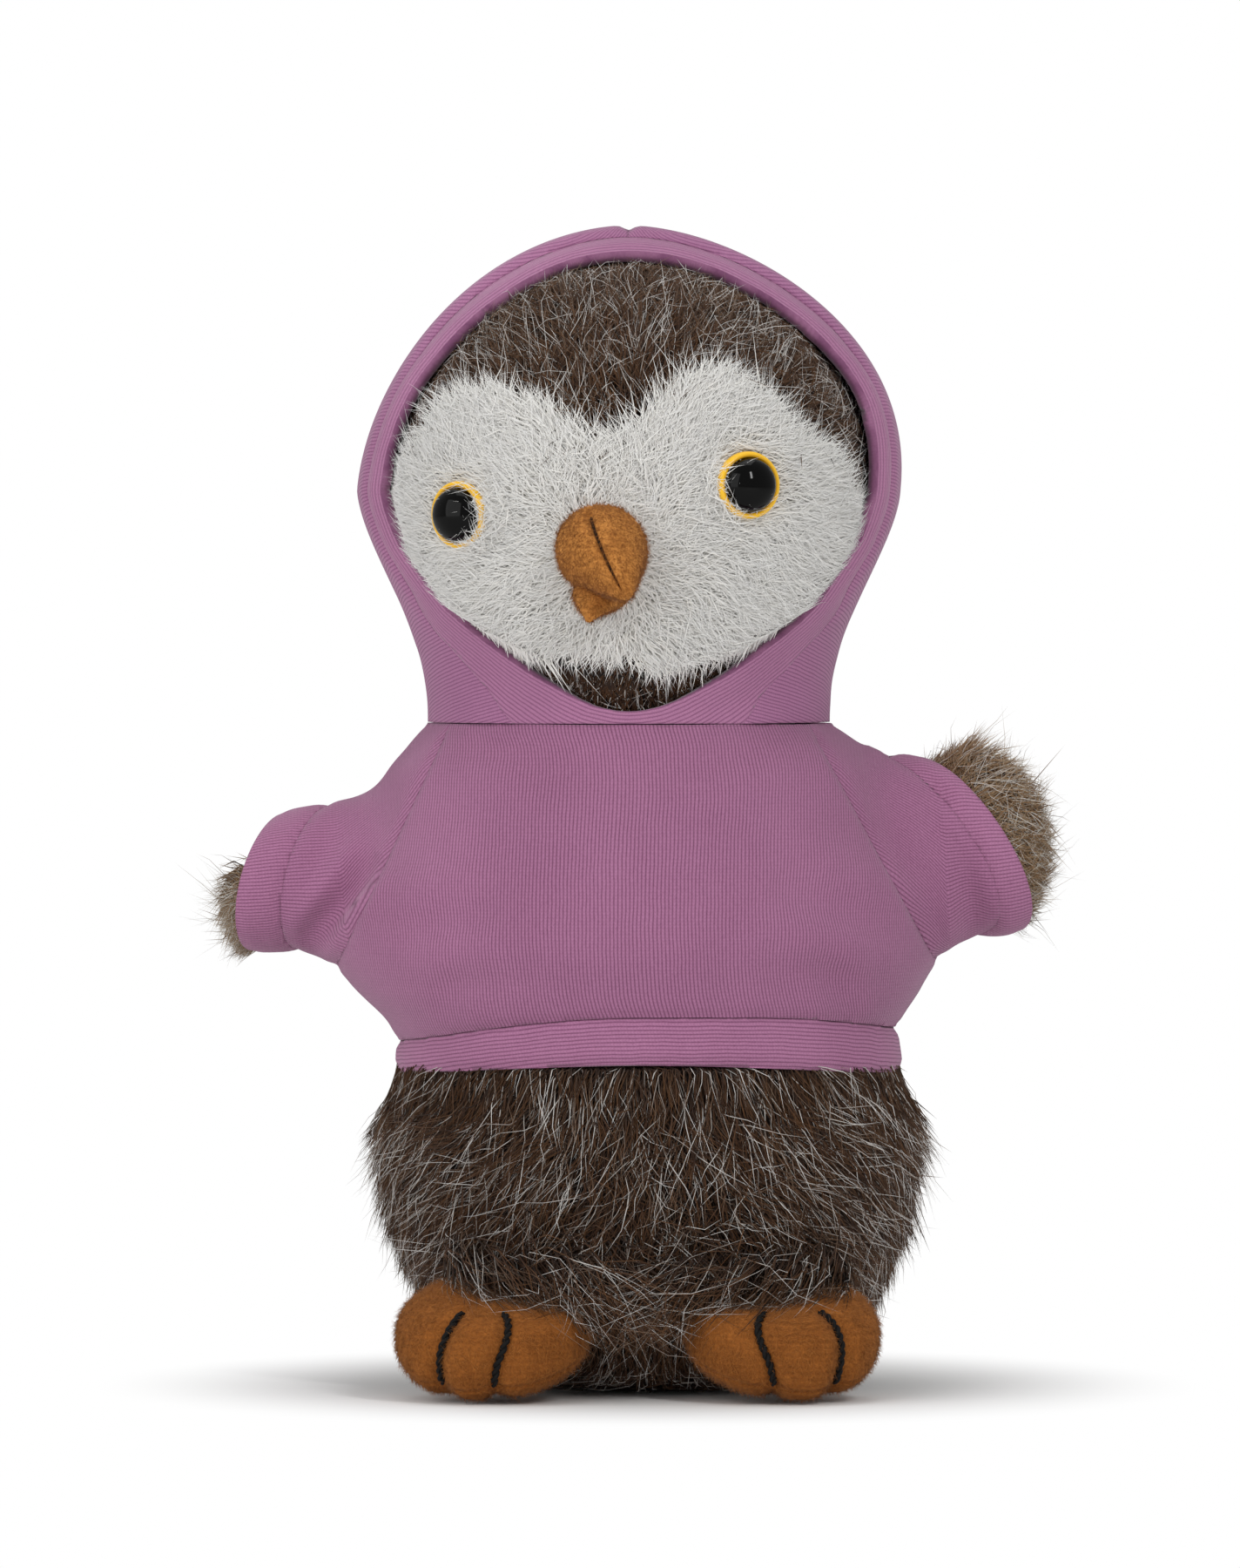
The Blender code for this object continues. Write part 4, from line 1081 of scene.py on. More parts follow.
class Cloth:
    """Tools that cut, roll, thicken and lay out knitted cloth."""

    @staticmethod
    def spots(mesh: BMesh) -> Array:
        """All vertex positions."""
        return np.array([v.co for v in mesh.verts])

    @staticmethod
    def place(mesh: BMesh, spots: Array) -> None:
        """Move all vertices."""
        for vertex, spot in zip(mesh.verts, spots):
            vertex.co = spot

    @staticmethod
    def cut(mesh: BMesh, point: Array, normal: Array, clear: bool = False) -> None:
        """Cut along a plane.

        Args:
            mesh: the cloth.
            point: a point on the plane.
            normal: its direction.
            clear: whether to remove what the normal points at.
        """
        geometry = mesh.verts[:] + mesh.edges[:] + mesh.faces[:]
        bmesh.ops.bisect_plane(mesh, geom=geometry, dist=1e-7, plane_co=point, plane_no=normal,
                               clear_outer=clear, clear_inner=False)

    @staticmethod
    def cut_curve(mesh: BMesh, curve: Field, axis: int, by: int,
                  sign: float = 1.0, clear: bool = False) -> None:
        """Cut where one coordinate equals a curve of another.

        Args:
            mesh: the cloth.
            curve: gives the coordinate at which to cut.
            axis: the coordinate that is compared.
            by: the coordinate that the curve reads.
            sign: the side that clear removes.
            clear: whether to remove that side.
        """
        for way in (-1, 1):
            spots = Cloth.spots(mesh)
            spots[:, axis] += way * curve(spots[:, by])
            Cloth.place(mesh, spots)
            if way < 0:
                Cloth.cut(mesh, (0, 0, 0), np.eye(3)[axis] * sign, clear)

    @staticmethod
    def panel(mesh: BMesh, wanted: Field) -> BMesh:
        """Cut one panel out of the cloth.

        Args:
            mesh: the whole cloth.
            wanted: picks the faces to keep, from their middles.

        Returns:
            A copy with only those faces.
        """
        copy = mesh.copy()
        keep = wanted(np.array([face.calc_center_median() for face in copy.faces]))
        gone = [face for face, stay in zip(copy.faces, keep) if not stay]
        bmesh.ops.delete(copy, geom=gone, context="FACES")
        return copy

    @staticmethod
    def settle(mesh: BMesh, field: Field, rounds: int) -> None:
        """Draw the vertices onto a field by Newton steps of at most 1.5 mm.

        Args:
            mesh: the cloth.
            field: roughly how far a spot lies outside the shape.
            rounds: how many steps.
        """
        spots = Cloth.spots(mesh)
        for _ in range(rounds):
            value, slope, size = steepness(field, spots, 0.02 * MM)
            step = -(value / size)[:, None] * slope
            reach = np.linalg.norm(step, axis=1, keepdims=True)
            spots = spots + step * np.minimum(1, 1.5 * MM / np.maximum(reach, 1e-9))
        Cloth.place(mesh, spots)

    @staticmethod
    def drape(mesh: BMesh, field: Field, rounds: int,
              creases: tuple[Crease, ...], slack: Field) -> None:
        """Draw the cloth onto a field, smooth it and fold it.

        Args:
            mesh: the cloth.
            field: roughly how far a spot lies outside the shape.
            rounds: how many steps bring it there.
            creases: its folds.
            slack: how far it stands out besides, at many spots.
        """
        Cloth.settle(mesh, field, rounds)
        bmesh.ops.smooth_vert(mesh, verts=mesh.verts, factor=0.5,
                              use_axis_x=True, use_axis_y=True, use_axis_z=True)
        Cloth.settle(mesh, field, 3)
        spots = Cloth.spots(mesh)
        mesh.normal_update()
        normals = np.array([v.normal for v in mesh.verts])
        push = sum(crease.push(spots) for crease in creases) + slack(spots)
        Cloth.place(mesh, spots + normals * push[:, None])

    @staticmethod
    def even_normals(mesh: BMesh) -> Array:
        """Even out the cloth's directions, so that its edges don't turn ragged.

        Args:
            mesh: the cloth.

        Returns:
            Every vertex's outward direction, averaged with its neighbours'.
        """
        mesh.normal_update()
        mesh.verts.index_update()
        normals = np.array([v.normal for v in mesh.verts])
        ends = np.array([[v.index for v in e.verts] for e in mesh.edges])
        for _ in range(4):
            total = normals.copy()
            np.add.at(total, ends[:, 0], normals[ends[:, 1]])
            np.add.at(total, ends[:, 1], normals[ends[:, 0]])
            normals = unit(total)
        return normals

    @staticmethod
    def roll(mesh: BMesh, depth: float, width: float, puff: float = 0.0,
             fade: Callable[[float], float] = lambda height: 1.0) -> None:
        """Draw every edge of the cloth inwards, as a sewn seam or a folded edge does.

        Args:
            mesh: the cloth.
            depth: how far the edge itself goes in.
            width: how far from the edge the cloth bends.
            puff: how far the rest stands out.
            fade: a factor on depth at a height.
        """
        normals = Cloth.even_normals(mesh)
        edge = {v for e in mesh.edges if len(e.link_faces) == 1 for v in e.verts}
        tree = search_tree([vertex.co for vertex in edge])
        for vertex in mesh.verts:
            away = tree.find(vertex.co)[2] / width
            near = math.exp(-away**2)
            pull = depth * fade(vertex.co.z) * near - puff * (1 - near)
            vertex.co = vertex.co - Vector(normals[vertex.index] * pull)

    @staticmethod
    def layout(mesh: BMesh, flat: Field) -> None:
        """Give the cloth its UV map in millimetres.

        Args:
            mesh: the cloth.
            flat: where each point lies when the cloth is flat, in metres.
        """
        where = flat(Cloth.spots(mesh)) / MM
        layer = mesh.loops.layers.uv.new("cloth")
        mesh.verts.index_update()
        for face in mesh.faces:
            for loop in face.loops:
                loop[layer].uv = where[loop.vert.index]

    @staticmethod
    def thicken(name: str, mesh: BMesh, thickness: float) -> Object:
        """Turn a surface into a closed piece of cloth, grown inwards.

        Args:
            name: the piece's name.
            mesh: the surface, with its UV map; it is freed.
            thickness: the cloth's.

        Returns:
            The piece.
        """
        layer = mesh.loops.layers.uv.verify()
        normals = Cloth.even_normals(mesh)
        flat = {loop.vert: loop[layer].uv.copy() for face in mesh.faces for loop in face.loops}
        rims = [e.link_loops[0] for e in mesh.edges if len(e.link_faces) == 1]
        outer = mesh.verts[:]
        inner = {v: mesh.verts.new(v.co - Vector(normals[v.index] * thickness)) for v in outer}
        flat.update({inner[v]: flat[v] for v in outer})
        corners = [[inner[v] for v in reversed(face.verts)] for face in mesh.faces]
        for loop in rims:
            a, b = loop.vert, loop.link_loop_next.vert
            corners.append([b, a, inner[a], inner[b]])
        for ring in corners:
            for loop in mesh.faces.new(ring).loops:
                loop[layer].uv = flat[loop.vert]
        return object_of(name, mesh)


def declare(piece: Object, width: float, length: float, area: float) -> None:
    """Log a panel's sewn area and the area it was cut as.

    Args:
        piece: the sewn panel.
        width: its flat width; not used.
        length: its flat length; not used.
        area: the area cut.
    """
    sewn = sum(face.area for face in piece.data.polygons) / 2
    LOG.info("%s: %.5f m2 sewn, cut as %.5f m2", piece.name, sewn, area)


def arc_length(turn: Array) -> Array:
    """Lengths along the torso's outline, whose half depth is 0.88 of its half width.

    Args:
        turn: angles from the front.

    Returns:
        The length to each, as a share of the half width.
    """
    angle = np.linspace(0, math.pi, 400)
    step = np.hypot(np.diff(np.sin(angle)), np.diff(0.88 * np.cos(angle)))
    length = np.concatenate([[0], np.cumsum(step)])
    return np.sign(turn) * np.interp(np.abs(turn), angle, length)


@dataclass
class Sweatshirt:
    """Front, back, waistband, raglan sleeves and cuffs, cut from one draped surface."""

    voxel: float = 0.75 * MM
    blend: float = 4.5 * MM
    sides: int = 96
    creases: tuple[Crease, ...] = (
        Crease((-42.5, 78.0), (-50.0, 68.5), 1.8, -1.9),
        Crease((-47.0, 85.0), (-51.0, 77.0), 2.4, -0.5),
        Crease((46.5, 81.0), (49.5, 69.0), 2.2, -1.5),
        Crease((42.5, 90.0), (43.5, 74.0), 2.0, -0.5),
        Crease((-42.0, 66.0), (-26.0, 71.0), 3.4, -0.9),
        Crease((-40.0, 61.0), (-20.0, 62.5), 3.2, -0.7),
        Crease((39.0, 68.0), (22.0, 75.0), 3.4, -0.9),
        Crease((37.0, 62.0), (18.0, 64.0), 3.2, -0.6),
        Crease((-24.0, 97.0), (-10.0, 92.0), 3.0, -0.6),
        Crease((18.0, 98.0), (4.0, 93.0), 3.0, -0.6),
        Crease((-30.0, 58.0), (-27.0, 66.0), 2.2, -0.3),
        Crease((12.0, 58.5), (11.0, 67.0), 2.4, -0.3),
        Crease((30.0, 57.0), (26.0, 66.0), 2.2, -0.35),
        Crease((-35.0, 64.0), (-15.0, 72.0), 3.2, -0.6, 1),
        Crease((33.0, 66.0), (12.0, 74.0), 3.2, -0.6, 1),
        Crease((-8.0, 60.0), (-10.0, 76.0), 3.0, -0.5, 1),
        Crease((20.0, 59.0), (18.0, 70.0), 2.6, -0.5, 1),
    )

    def field(self, spots: Array) -> Array:
        """Roughly how far each spot lies outside the sweatshirt, smooth where sleeves join.

        Args:
            spots: the points.

        Returns:
            One distance each.
        """
        centre, wide, deep = shirt_halves(spots[:, 2])
        x, y = (spots[:, 0] - centre) / wide, spots[:, 1] / deep
        value = (np.sqrt(x * x + y * y) - 1) * np.minimum(wide, deep)
        for arm in ARMS:
            other = arm.field(spots)
            overlap = np.maximum(self.blend - np.abs(value - other), 0)
            value = np.minimum(value, other) - overlap**2 / (4 * self.blend)
        return value

    def surface(self) -> BMesh:
        """One seamless skin of torso and sleeves, remeshed evenly and drawn onto the field.

        Returns:
            The skin, open at neck, waist and cuffs.
        """
        heights = np.linspace(43 * MM, 104 * MM, 60)
        torso = level_rings(heights, *shirt_halves(heights), self.sides)
        forms = [grid_object("torso_form", torso)]
        along = np.linspace(-8 * MM, 34 * MM, 40)
        for arm in ARMS:
            rings = arm.rings(along, *arm.halves(along), self.sides)
            forms.append(grid_object(arm.label + "_form", rings))
        mesh = even_skin(joined("shirt_form", forms), self.voxel)
        Cloth.cut(mesh, (0, 0, NECK + 1.5 * MM), (0, 0, 1), True)
        Cloth.cut(mesh, (0, 0, 46.5 * MM), (0, 0, -1), True)
        for arm in ARMS:
            pivot, out, _ = arm.axes()
            Cloth.cut(mesh, pivot + out * 31 * MM, out, True)

        def slack(spots: Array) -> Array:
            """Small waves that gather towards the waistband."""
            x, _, z = spots.T
            waves = np.sin(x / (6.1 * MM) + np.sin(z / (9 * MM)) * 1.3)
            return waves * (1 - smooth(z, 56 * MM, 82 * MM)) * 0.22 * MM

        Cloth.drape(mesh, self.field, 5, self.creases, slack)
        return mesh

    def lay_torso(self, spots: Array) -> Array:
        """Wales run up the panels at an even spacing round the body.

        Args:
            spots: points of the worn cloth.

        Returns:
            Where each lies in the flat cloth.
        """
        centre, wide, deep = shirt_halves(spots[:, 2])
        turn = np.arctan2((spots[:, 0] - centre) / wide, np.abs(spots[:, 1]) / deep)
        return np.stack([arc_length(turn) * wide, spots[:, 2]], 1)

    def lay_band(self, spots: Array) -> Array:
        """The waistband's wales run round the body."""
        flat = self.lay_torso(spots)
        return np.stack([spots[:, 2] - seam_height(spots[:, 0]), flat[:, 0]], 1)

    @staticmethod
    def lay_sleeve(arm: Arm) -> Field:
        """Wales run along a sleeve, and on through the cuff, which is the same cloth turned in.

        Args:
            arm: the sleeve's arm.

        Returns:
            A function from points of the worn cloth to the flat cloth.
        """
        def flat(spots: Array) -> Array:
            """Unroll the sleeve."""
            along, above, deep = arm.frame(spots)
            radius = 12.2 * MM + 0.75 * np.maximum(8 * MM - along, 0)
            return np.stack([np.arctan2(-deep, above) * radius, along], 1)
        return flat

    def build(self) -> None:
        """Cut the panels, sew their edges and dress them."""
        whole = self.surface()
        Cloth.cut(whole, (0, 0, NECK - 0.02 * MM), (0, 0, 1), True)
        Cloth.cut_curve(whole, hem_height, 2, 0, -1, True)
        Cloth.cut_curve(whole, seam_height, 2, 0)
        Cloth.cut(whole, (0, 0, 0), (0, 1, 0))
        for arm in ARMS:
            low, across = arm.raglan()
            Cloth.cut(whole, (low[0], 0, low[1]), (across[0], 0, across[1]))
            Cloth.cut(whole, (0, 0, low[1]), (0, 0, 1))
            edge, normal = arm.cuff_plane()
            Cloth.cut(whole, edge, normal)
            Cloth.cut(whole, edge - normal * arm.hem, normal)
        # The valley colours are painted shade between the knit's columns.
        knit = KnitFinish("mauve cotton jersey", "#7A4868", "#B37A9E").make()
        band_knit = KnitFinish("folded mauve jersey hem", "#7F4C6D", "#B97FA3").make()
        self.build_torso(whole, knit, band_knit)
        for arm in ARMS:
            self.build_sleeve(whole, arm, "sleeve", knit)
            self.build_sleeve(whole, arm, "cuff", band_knit)

    def build_torso(self, whole: BMesh, knit: Material,
                    band_knit: Material) -> None:
        """Make the front and back panels and the waistband.

        Args:
            whole: the draped surface, cut along every seam.
            knit: the panels' material.
            band_knit: the waistband's.
        """
        def torso(spots: Array) -> Array:
            """Which spots belong to neither arm."""
            on_arms = [arm.in_sleeve(spots) | arm.near_cuff(spots, 0) for arm in ARMS]
            return ~(on_arms[0] | on_arms[1])

        def above_band(spots: Array) -> Array:
            """Which spots lie above the waist seam."""
            return spots[:, 2] > seam_height(spots[:, 0])

        for name, side in (("front", -1), ("back", 1)):
            mesh = Cloth.panel(whole, lambda p: torso(p) & above_band(p) & (p[:, 1] * side > 0))
            Cloth.layout(mesh, self.lay_torso)
            Cloth.roll(mesh, 0.5 * MM, 0.9 * MM, 0.0, self.neck_fade)
            piece = Cloth.thicken(f"sweatshirt_{name}_panel", mesh, CLOTH)
            finish_piece(piece, knit, Body.TORSO, ("hoodie_" + name,))
            declare(piece, 100 * MM, 52 * MM, 0.0042)
        mesh = Cloth.panel(whole, lambda p: ~above_band(p))
        Cloth.layout(mesh, self.lay_band)
        Cloth.roll(mesh, 0.8 * MM, 0.9 * MM, 0.15 * MM)
        band = Cloth.thicken("sweatshirt_waistband", mesh, 1.6 * MM)
        finish_piece(band, band_knit, Body.TORSO, ("waistband",))
        declare(band, 240 * MM, 10 * MM, 0.0016)

    @staticmethod
    def neck_fade(height: float) -> float:
        """The panels' edges are drawn in less at the neck seam."""
        return 0.7 if height > 98 * MM else 1.0

    def build_sleeve(self, whole: BMesh, arm: Arm, name: str,
                     knit: Material) -> None:
        """Make one sleeve or its cuff.

        Args:
            whole: the draped surface, cut along every seam.
            arm: the arm it is on.
            name: sleeve or cuff.
            knit: its material.
        """
        cuff = name == "cuff"

        def wanted(spots: Array) -> Array:
            """Which spots belong to the piece."""
            hem = arm.near_cuff(spots, arm.hem)
            return arm.in_sleeve(spots) & ~arm.near_cuff(spots, 0) & (hem if cuff else ~hem)

        mesh = Cloth.panel(whole, wanted)
        Cloth.layout(mesh, self.lay_sleeve(arm))
        Cloth.roll(mesh, 0.5 * MM, 1.1 * MM, 0.0, self.neck_fade)
        piece = Cloth.thicken(f"{arm.label}_{name}_cloth", mesh, 1.5 * MM if cuff else CLOTH)
        piece.data.materials.clear()
        piece.data.materials.append(knit)
        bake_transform(piece)
        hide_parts(f"{arm.label}_{name}")
        declare(piece, *((72 * MM, 10 * MM, 0.0005) if cuff else (75 * MM, 30 * MM, 0.0015)))


# ---------------- head

HEAD_HALF_WIDTH = 35.5 * MM
HEAD_HALF_DEPTH = 34 * MM
HEAD_HALF_HEIGHT = 35 * MM
NECK_SHARE = 0.74
YAW = math.radians(6.5)
ROLL = math.radians(6.4)
FACE_LOFT = 3.5 * MM

# Where the white pile is rooted, in millimetres of X and Z: its tips reach about 4 mm further
WHITE_ROOTS = np.array([
    (-7.7, 140.4), (-2.8, 141.3), (0.5, 144.7), (4.2, 149.2), (7.3, 150.7), (11.4, 150.1),
    (15.4, 147.0), (20.1, 142.6), (24.6, 139.6), (27.3, 135.8), (29.6, 130.6), (31.6, 123.0),
    (29.5, 115.0), (20.0, 110.0), (10.1, 111.2), (1.2, 109.7), (-6.1, 111.9), (-14.6, 112.1),
    (-23.0, 110.5), (-31.0, 114.5), (-38.0, 121.0), (-40.6, 130.0), (-37.0, 136.6),
    (-33.2, 139.0), (-31.0, 143.6), (-27.8, 147.0), (-23.2, 147.9), (-18.3, 147.0),
    (-14.3, 145.3), (-10.9, 142.2),
])

WHITE_FUR = FurFinish(
    # Short fluffy acrylic pile, cream white, with a little painted shade towards its roots
    name="white fluffy pile",
    under=((0.0, "#EAE4D8"), (0.5, "#F6F3EC"), (1.0, "#FCFAF6")),
    under_light=((0.0, "#F2EDE3"), (0.5, "#FCFAF5"), (1.0, "#FFFFFE")),
    guard=((0.0, "#EDE8DD"), (0.5, "#F9F7F2"), (1.0, "#FDFCF9")),
    guard_light=((0.0, "#F2EEE6"), (0.5, "#FCFBF8"), (1.0, "#FFFFFF")),
    roughness=0.7,
    sheen=0.5,
)


def head_size(height: float, grow: float) -> tuple[float, float]:
    """The head's size at a height, as in the CAD.

    Args:
        height: the height.
        grow: how far outside the CAD's head.

    Returns:
        Its half width and half depth.
    """
    if height < HEAD_CENTRE.z:
        drop = (HEAD_CENTRE.z - height) / (HEAD_CENTRE.z - NECK)
        size = math.sqrt(1 - (1 - NECK_SHARE**2) * drop**2)
    else:
        rise = (height - HEAD_CENTRE.z) / (HEAD_HALF_HEIGHT + grow)
        size = math.sqrt(max(1 - rise**2, 0.0))
    return size * (HEAD_HALF_WIDTH + grow), size * (HEAD_HALF_DEPTH + grow)


def head_point(azimuth: float, height: float, grow: float) -> tuple[Vector, Vector]:
    """A point on the head, as in the CAD.

    Args:
        azimuth: its angle from the middle of the face.
        height: its height.
        grow: how far outside the CAD's head.

    Returns:
        The point and its outward direction.
    """
    wide, deep = head_size(height, grow)
    tiny = 0.3 * MM
    slope = (wide - head_size(height + tiny, grow)[0]) / tiny
    point = Vector((HEAD_CENTRE.x + wide * math.sin(azimuth), -deep * math.cos(azimuth), height))
    level = Vector((math.sin(azimuth) / wide, -math.cos(azimuth) / deep, 0)).normalized()
    return point, (level + Vector((0, 0, slope))).normalized()


def facing(point: Vector, direction: Vector) -> Matrix:
    """A placement whose local Z looks along a direction."""
    turn = Vector((0, 0, 1)).rotation_difference(direction).to_matrix().to_4x4()
    return Matrix.Translation(point) @ turn


def in_white(spots: Array) -> Array:
    """Which spots lie inside the white panel, seen from the front.

    Args:
        spots: the points.

    Returns:
        True for each that does.
    """
    x, z = spots[:, 0], spots[:, 2]
    ring = WHITE_ROOTS * MM
    inside = np.zeros(len(spots), bool)
    for (x1, z1), (x2, z2) in zip(ring, np.roll(ring, -1, 0)):
        crosses = (z1 > z) != (z2 > z)
        at = (x2 - x1) * (z - z1) / (z2 - z1 if z2 != z1 else 1e-9) + x1
        inside ^= crosses & (x < at)
    return inside & (spots[:, 1] < -8 * MM)


def lathe(name: str, profile: tuple[tuple[float, float], ...],
          place: Matrix) -> Object:
    """Spin a profile about local Z and place it.

    Args:
        name: the new object's name.
        profile: radius and height of its points in millimetres.
        place: where it goes.

    Returns:
        The new object.
    """
    mesh = bmesh.new()
    verts = [mesh.verts.new((radius * MM, 0, height * MM)) for radius, height in profile]
    edges = [mesh.edges.new(pair) for pair in zip(verts, verts[1:])]
    bmesh.ops.spin(mesh, geom=verts + edges, cent=(0, 0, 0), axis=(0, 0, 1), dvec=(0, 0, 0),
                   angle=2 * math.pi, steps=72, use_merge=True)
    bmesh.ops.remove_doubles(mesh, verts=mesh.verts, dist=1e-6)
    bmesh.ops.recalc_face_normals(mesh, faces=mesh.faces)
    bmesh.ops.transform(mesh, matrix=place, verts=mesh.verts)
    return object_of(name, mesh)


@dataclass(frozen=True)
class EyeFinish:
    """Moulded and polished safety-eye plastic, glossy over a painted back."""

    name: str
    inner: str
    outer: str
    roughness: float

    def make(self, centre: Vector) -> Material:
        """Build the material, shaded from the eye's middle to its rim.

        Args:
            centre: the eye's middle.

        Returns:
            The material.
        """
        made, tree, shader = new_material(self.name, {"IOR": 1.46, "Specular IOR Level": 0.18})
        where = add_node(tree, "TexCoord").outputs["Object"]
        away = add_node(tree, "VectorMath", where, centre, operation="DISTANCE")
        share = add_node(tree, "Math", away.outputs["Value"], 5.2 * MM, operation="DIVIDE")
        colour = add_node(tree, "ValToRGB", share, stops=(
            (0.0, self.inner), (0.80, self.inner), (0.9, self.outer), (1.0, self.outer)))
        dust = add_node(tree, "TexNoise", named={"Vector": where, "Scale": 900.0})
        rough = add_node(tree, "Math", dust, 0.05, self.roughness, operation="MULTIPLY_ADD")
        fill(tree, shader, {"Base Color": colour, "Roughness": rough})
        return made


@dataclass
class Head:
    """The stuffed head: brown crown and chin, white face and two safety eyes."""

    sides: int = 120
    beak: tuple[float, float, float] = (-7.0 * MM, -36 * MM, 124 * MM)
    # The body ends below this height, so crown strands above it pass clear as the head turns
    clear_height: float = 100.4 * MM
    # Count, length, its spread, thickness, lift, splay, curl, clump and rings of each strand
    crown: tuple[Pile, ...] = (
        Pile(12000, 6.0 * MM, 0.2, 0.36 * MM, 0.9, 0.6, 0.3, 0.5, 2),
        Pile(4200, 6.6 * MM, 0.24, 0.18 * MM, 0.85, 0.5, 0.55, 0.35, 4, True),
    )
    face: tuple[Pile, ...] = (
        Pile(31500, 5.0 * MM, 0.16, 0.28 * MM, 1.15, 0.8, 0.45, 0.5, 2),
        Pile(6500, 5.7 * MM, 0.2, 0.14 * MM, 1.0, 0.8, 0.6, 0.3, 3, True),
    )

    def backing(self, name: str, grow: float) -> Object:
        """A closed backing form of the head, slimmer where the hood is tight.

        Args:
            name: its name.
            grow: how far it lies outside the CAD's head.

        Returns:
            Its object.
        """
        low = np.linspace(NECK + 0.3 * MM, HEAD_CENTRE.z, 30, endpoint=False)
        dome = np.sin(np.linspace(0, math.radians(88), 40))
        heights = np.concatenate([low, HEAD_CENTRE.z + (HEAD_HALF_HEIGHT + grow) * dome])
        wide, deep = np.array([head_size(height, grow) for height in heights]).T
        spots = level_rings(heights, HEAD_CENTRE.x, wide, deep, self.sides)
        return grid_object(name, self.under_hood(spots, -3.9 * MM + grow * 0.5, 1.1, 0.6 * MM))

    @staticmethod
    def eye_places() -> dict[str, Matrix]:
        """Where each eye sits, as in the CAD.

        Returns:
            The placement of each side's eye, whose local Z looks outwards.
        """
        made = {}
        spread = math.radians(33.0)
        for label, sign in (("left", -1), ("right", 1)):
            height = 0.1332 + sign * math.sin(ROLL) * math.sin(spread) * HEAD_HALF_WIDTH
            point, outward = head_point(sign * spread - YAW, height, FACE_LOFT)
            made[label] = facing(point + outward * 1.4 * MM, outward)
        return made

    def build_eyes(self) -> None:
        """Yellow disc with its rounded rim and shank, and the black dome on it."""
        disc = ((0.0, -12.3), (1.5, -12.3), (1.5, -1.8), (4.5, -1.8), (4.85, -1.6), (5.0, -1.2),
                (5.0, -0.55), (4.92, -0.25), (4.75, -0.05), (4.5, 0.05), (4.25, 0.0),
                (4.1, -0.2), (4.06, -0.8), (0.0, -0.8))
        bow = tuple((4.0 * math.cos(t), 2.7 * math.sin(t))
                    for t in np.linspace(0, math.pi / 2, 14)[:-1])
        dome = ((0.0, -0.7), (3.9, -0.7), (4.0, -0.6)) + bow + ((0.0, 2.7),)
        for label, place in self.eye_places().items():
            yellow = EyeFinish(f"painted yellow eye plastic {label}", "#E0A21C", "#FFC93A", 0.2)
            black = EyeFinish(f"polished black eye plastic {label}", "#030303", "#060505", 0.03)
            for form, profile, finish, slot, node in (
                    ("disc", disc, yellow, Slot.EYE_YELLOW, "base"),
                    ("dome", dome, black, Slot.EYE_BLACK, "pupil")):
                piece = lathe(f"{label}_eye_{form}", profile, place)
                finish_piece(piece, finish.make(place.translation), Body.HEAD,
                             (f"{label}_eye_{node}",))

    def clear_of_eyes(self, roots: Roots, radius: float) -> Array:
        """Which roots are outside both eyes.

        Args:
            roots: the roots.
            radius: how far from an eye's axis is outside.

        Returns:
            True for each that is.
        """
        keep = np.ones(len(roots.place), bool)
        for place in self.eye_places().values():
            axis = np.array((place.to_3x3() @ Vector((0, 0, 1))))
            away = roots.place - np.array(place.translation)
            flat = away - (away @ axis)[:, None] * axis
            keep &= np.linalg.norm(flat, axis=1) > radius
        return keep

    def part_from_eyes(self, roots: Roots, comb: Array) -> Array:
        """Lay the pile away from each eye close to it, and over it from the side of the beak.

        Args:
            roots: the roots.
            comb: the lie of the pile at each.

        Returns:
            Its new lie.
        """
        for label, place in self.eye_places().items():
            spot = np.array(place.translation)
            away = roots.place - spot
            near = np.exp(-(np.linalg.norm(away, axis=1) / (8.0 * MM)) ** 2)
            start = 0.1 if label == "left" else 0.5
            inner = smooth(unit(away) @ unit(np.array(self.beak) - spot), start, 0.9)
            comb = comb + unit(away) * (near * (2.0 - 4.4 * inner))[:, None]
        return comb

    def grow_face(self, skin: Object) -> list[Object]:
        """The white pile, brushed outwards from the beak.

        Args:
            skin: the face's raised backing.

        Returns:
            The pieces.
        """
        beak = np.array(self.beak)
        made = []
        kinds = [(scatter(skin, pile.count, 41 + number, in_white), pile)
                 for number, pile in enumerate(self.face)]
        rng = np.random.default_rng(43)
        for label, sign in (("left", -1), ("right", 1)):
            groups = []
            for number, (roots, pile) in enumerate(kinds):
                here = roots.keep((roots.place[:, 0] - beak[0]) * sign >= 0)
                here = here.keep(self.clear_of_eyes(here, 5.1 * MM))
                comb = unit(here.place - beak) + rng.normal(size=here.place.shape) * 0.38
                x, _, z = here.place.T
                swirl = np.sin(x / (7 * MM)) * np.cos(z / (6 * MM))
                comb = comb + np.stack([swirl * 0.35, 0 * x, np.cos(x / (5 * MM)) * 0.25], 1)
                comb = self.part_from_eyes(here, comb)
                near_eye = np.ones(len(x))
                for place in self.eye_places().values():
                    away = np.linalg.norm(here.place - np.array(place.translation), axis=1)
                    near_eye = np.minimum(near_eye, 0.92 + 0.08 * smooth(away, 6 * MM, 13 * MM))
                near_beak = np.linalg.norm(here.place - beak, axis=1)
                scale = near_eye * (0.7 + 0.3 * smooth(near_beak, 7 * MM, 16 * MM))
                strands = grow(here, comb, pile, 44 + number, scale)
                strands.line = self.under_hood(strands.line, -2.6 * MM, 1.1, -0.4 * MM)
                groups.append(strands)
            groups.append(self.over_eye(skin, label))
            for part, upper in (("upper", True), ("lower", False)):
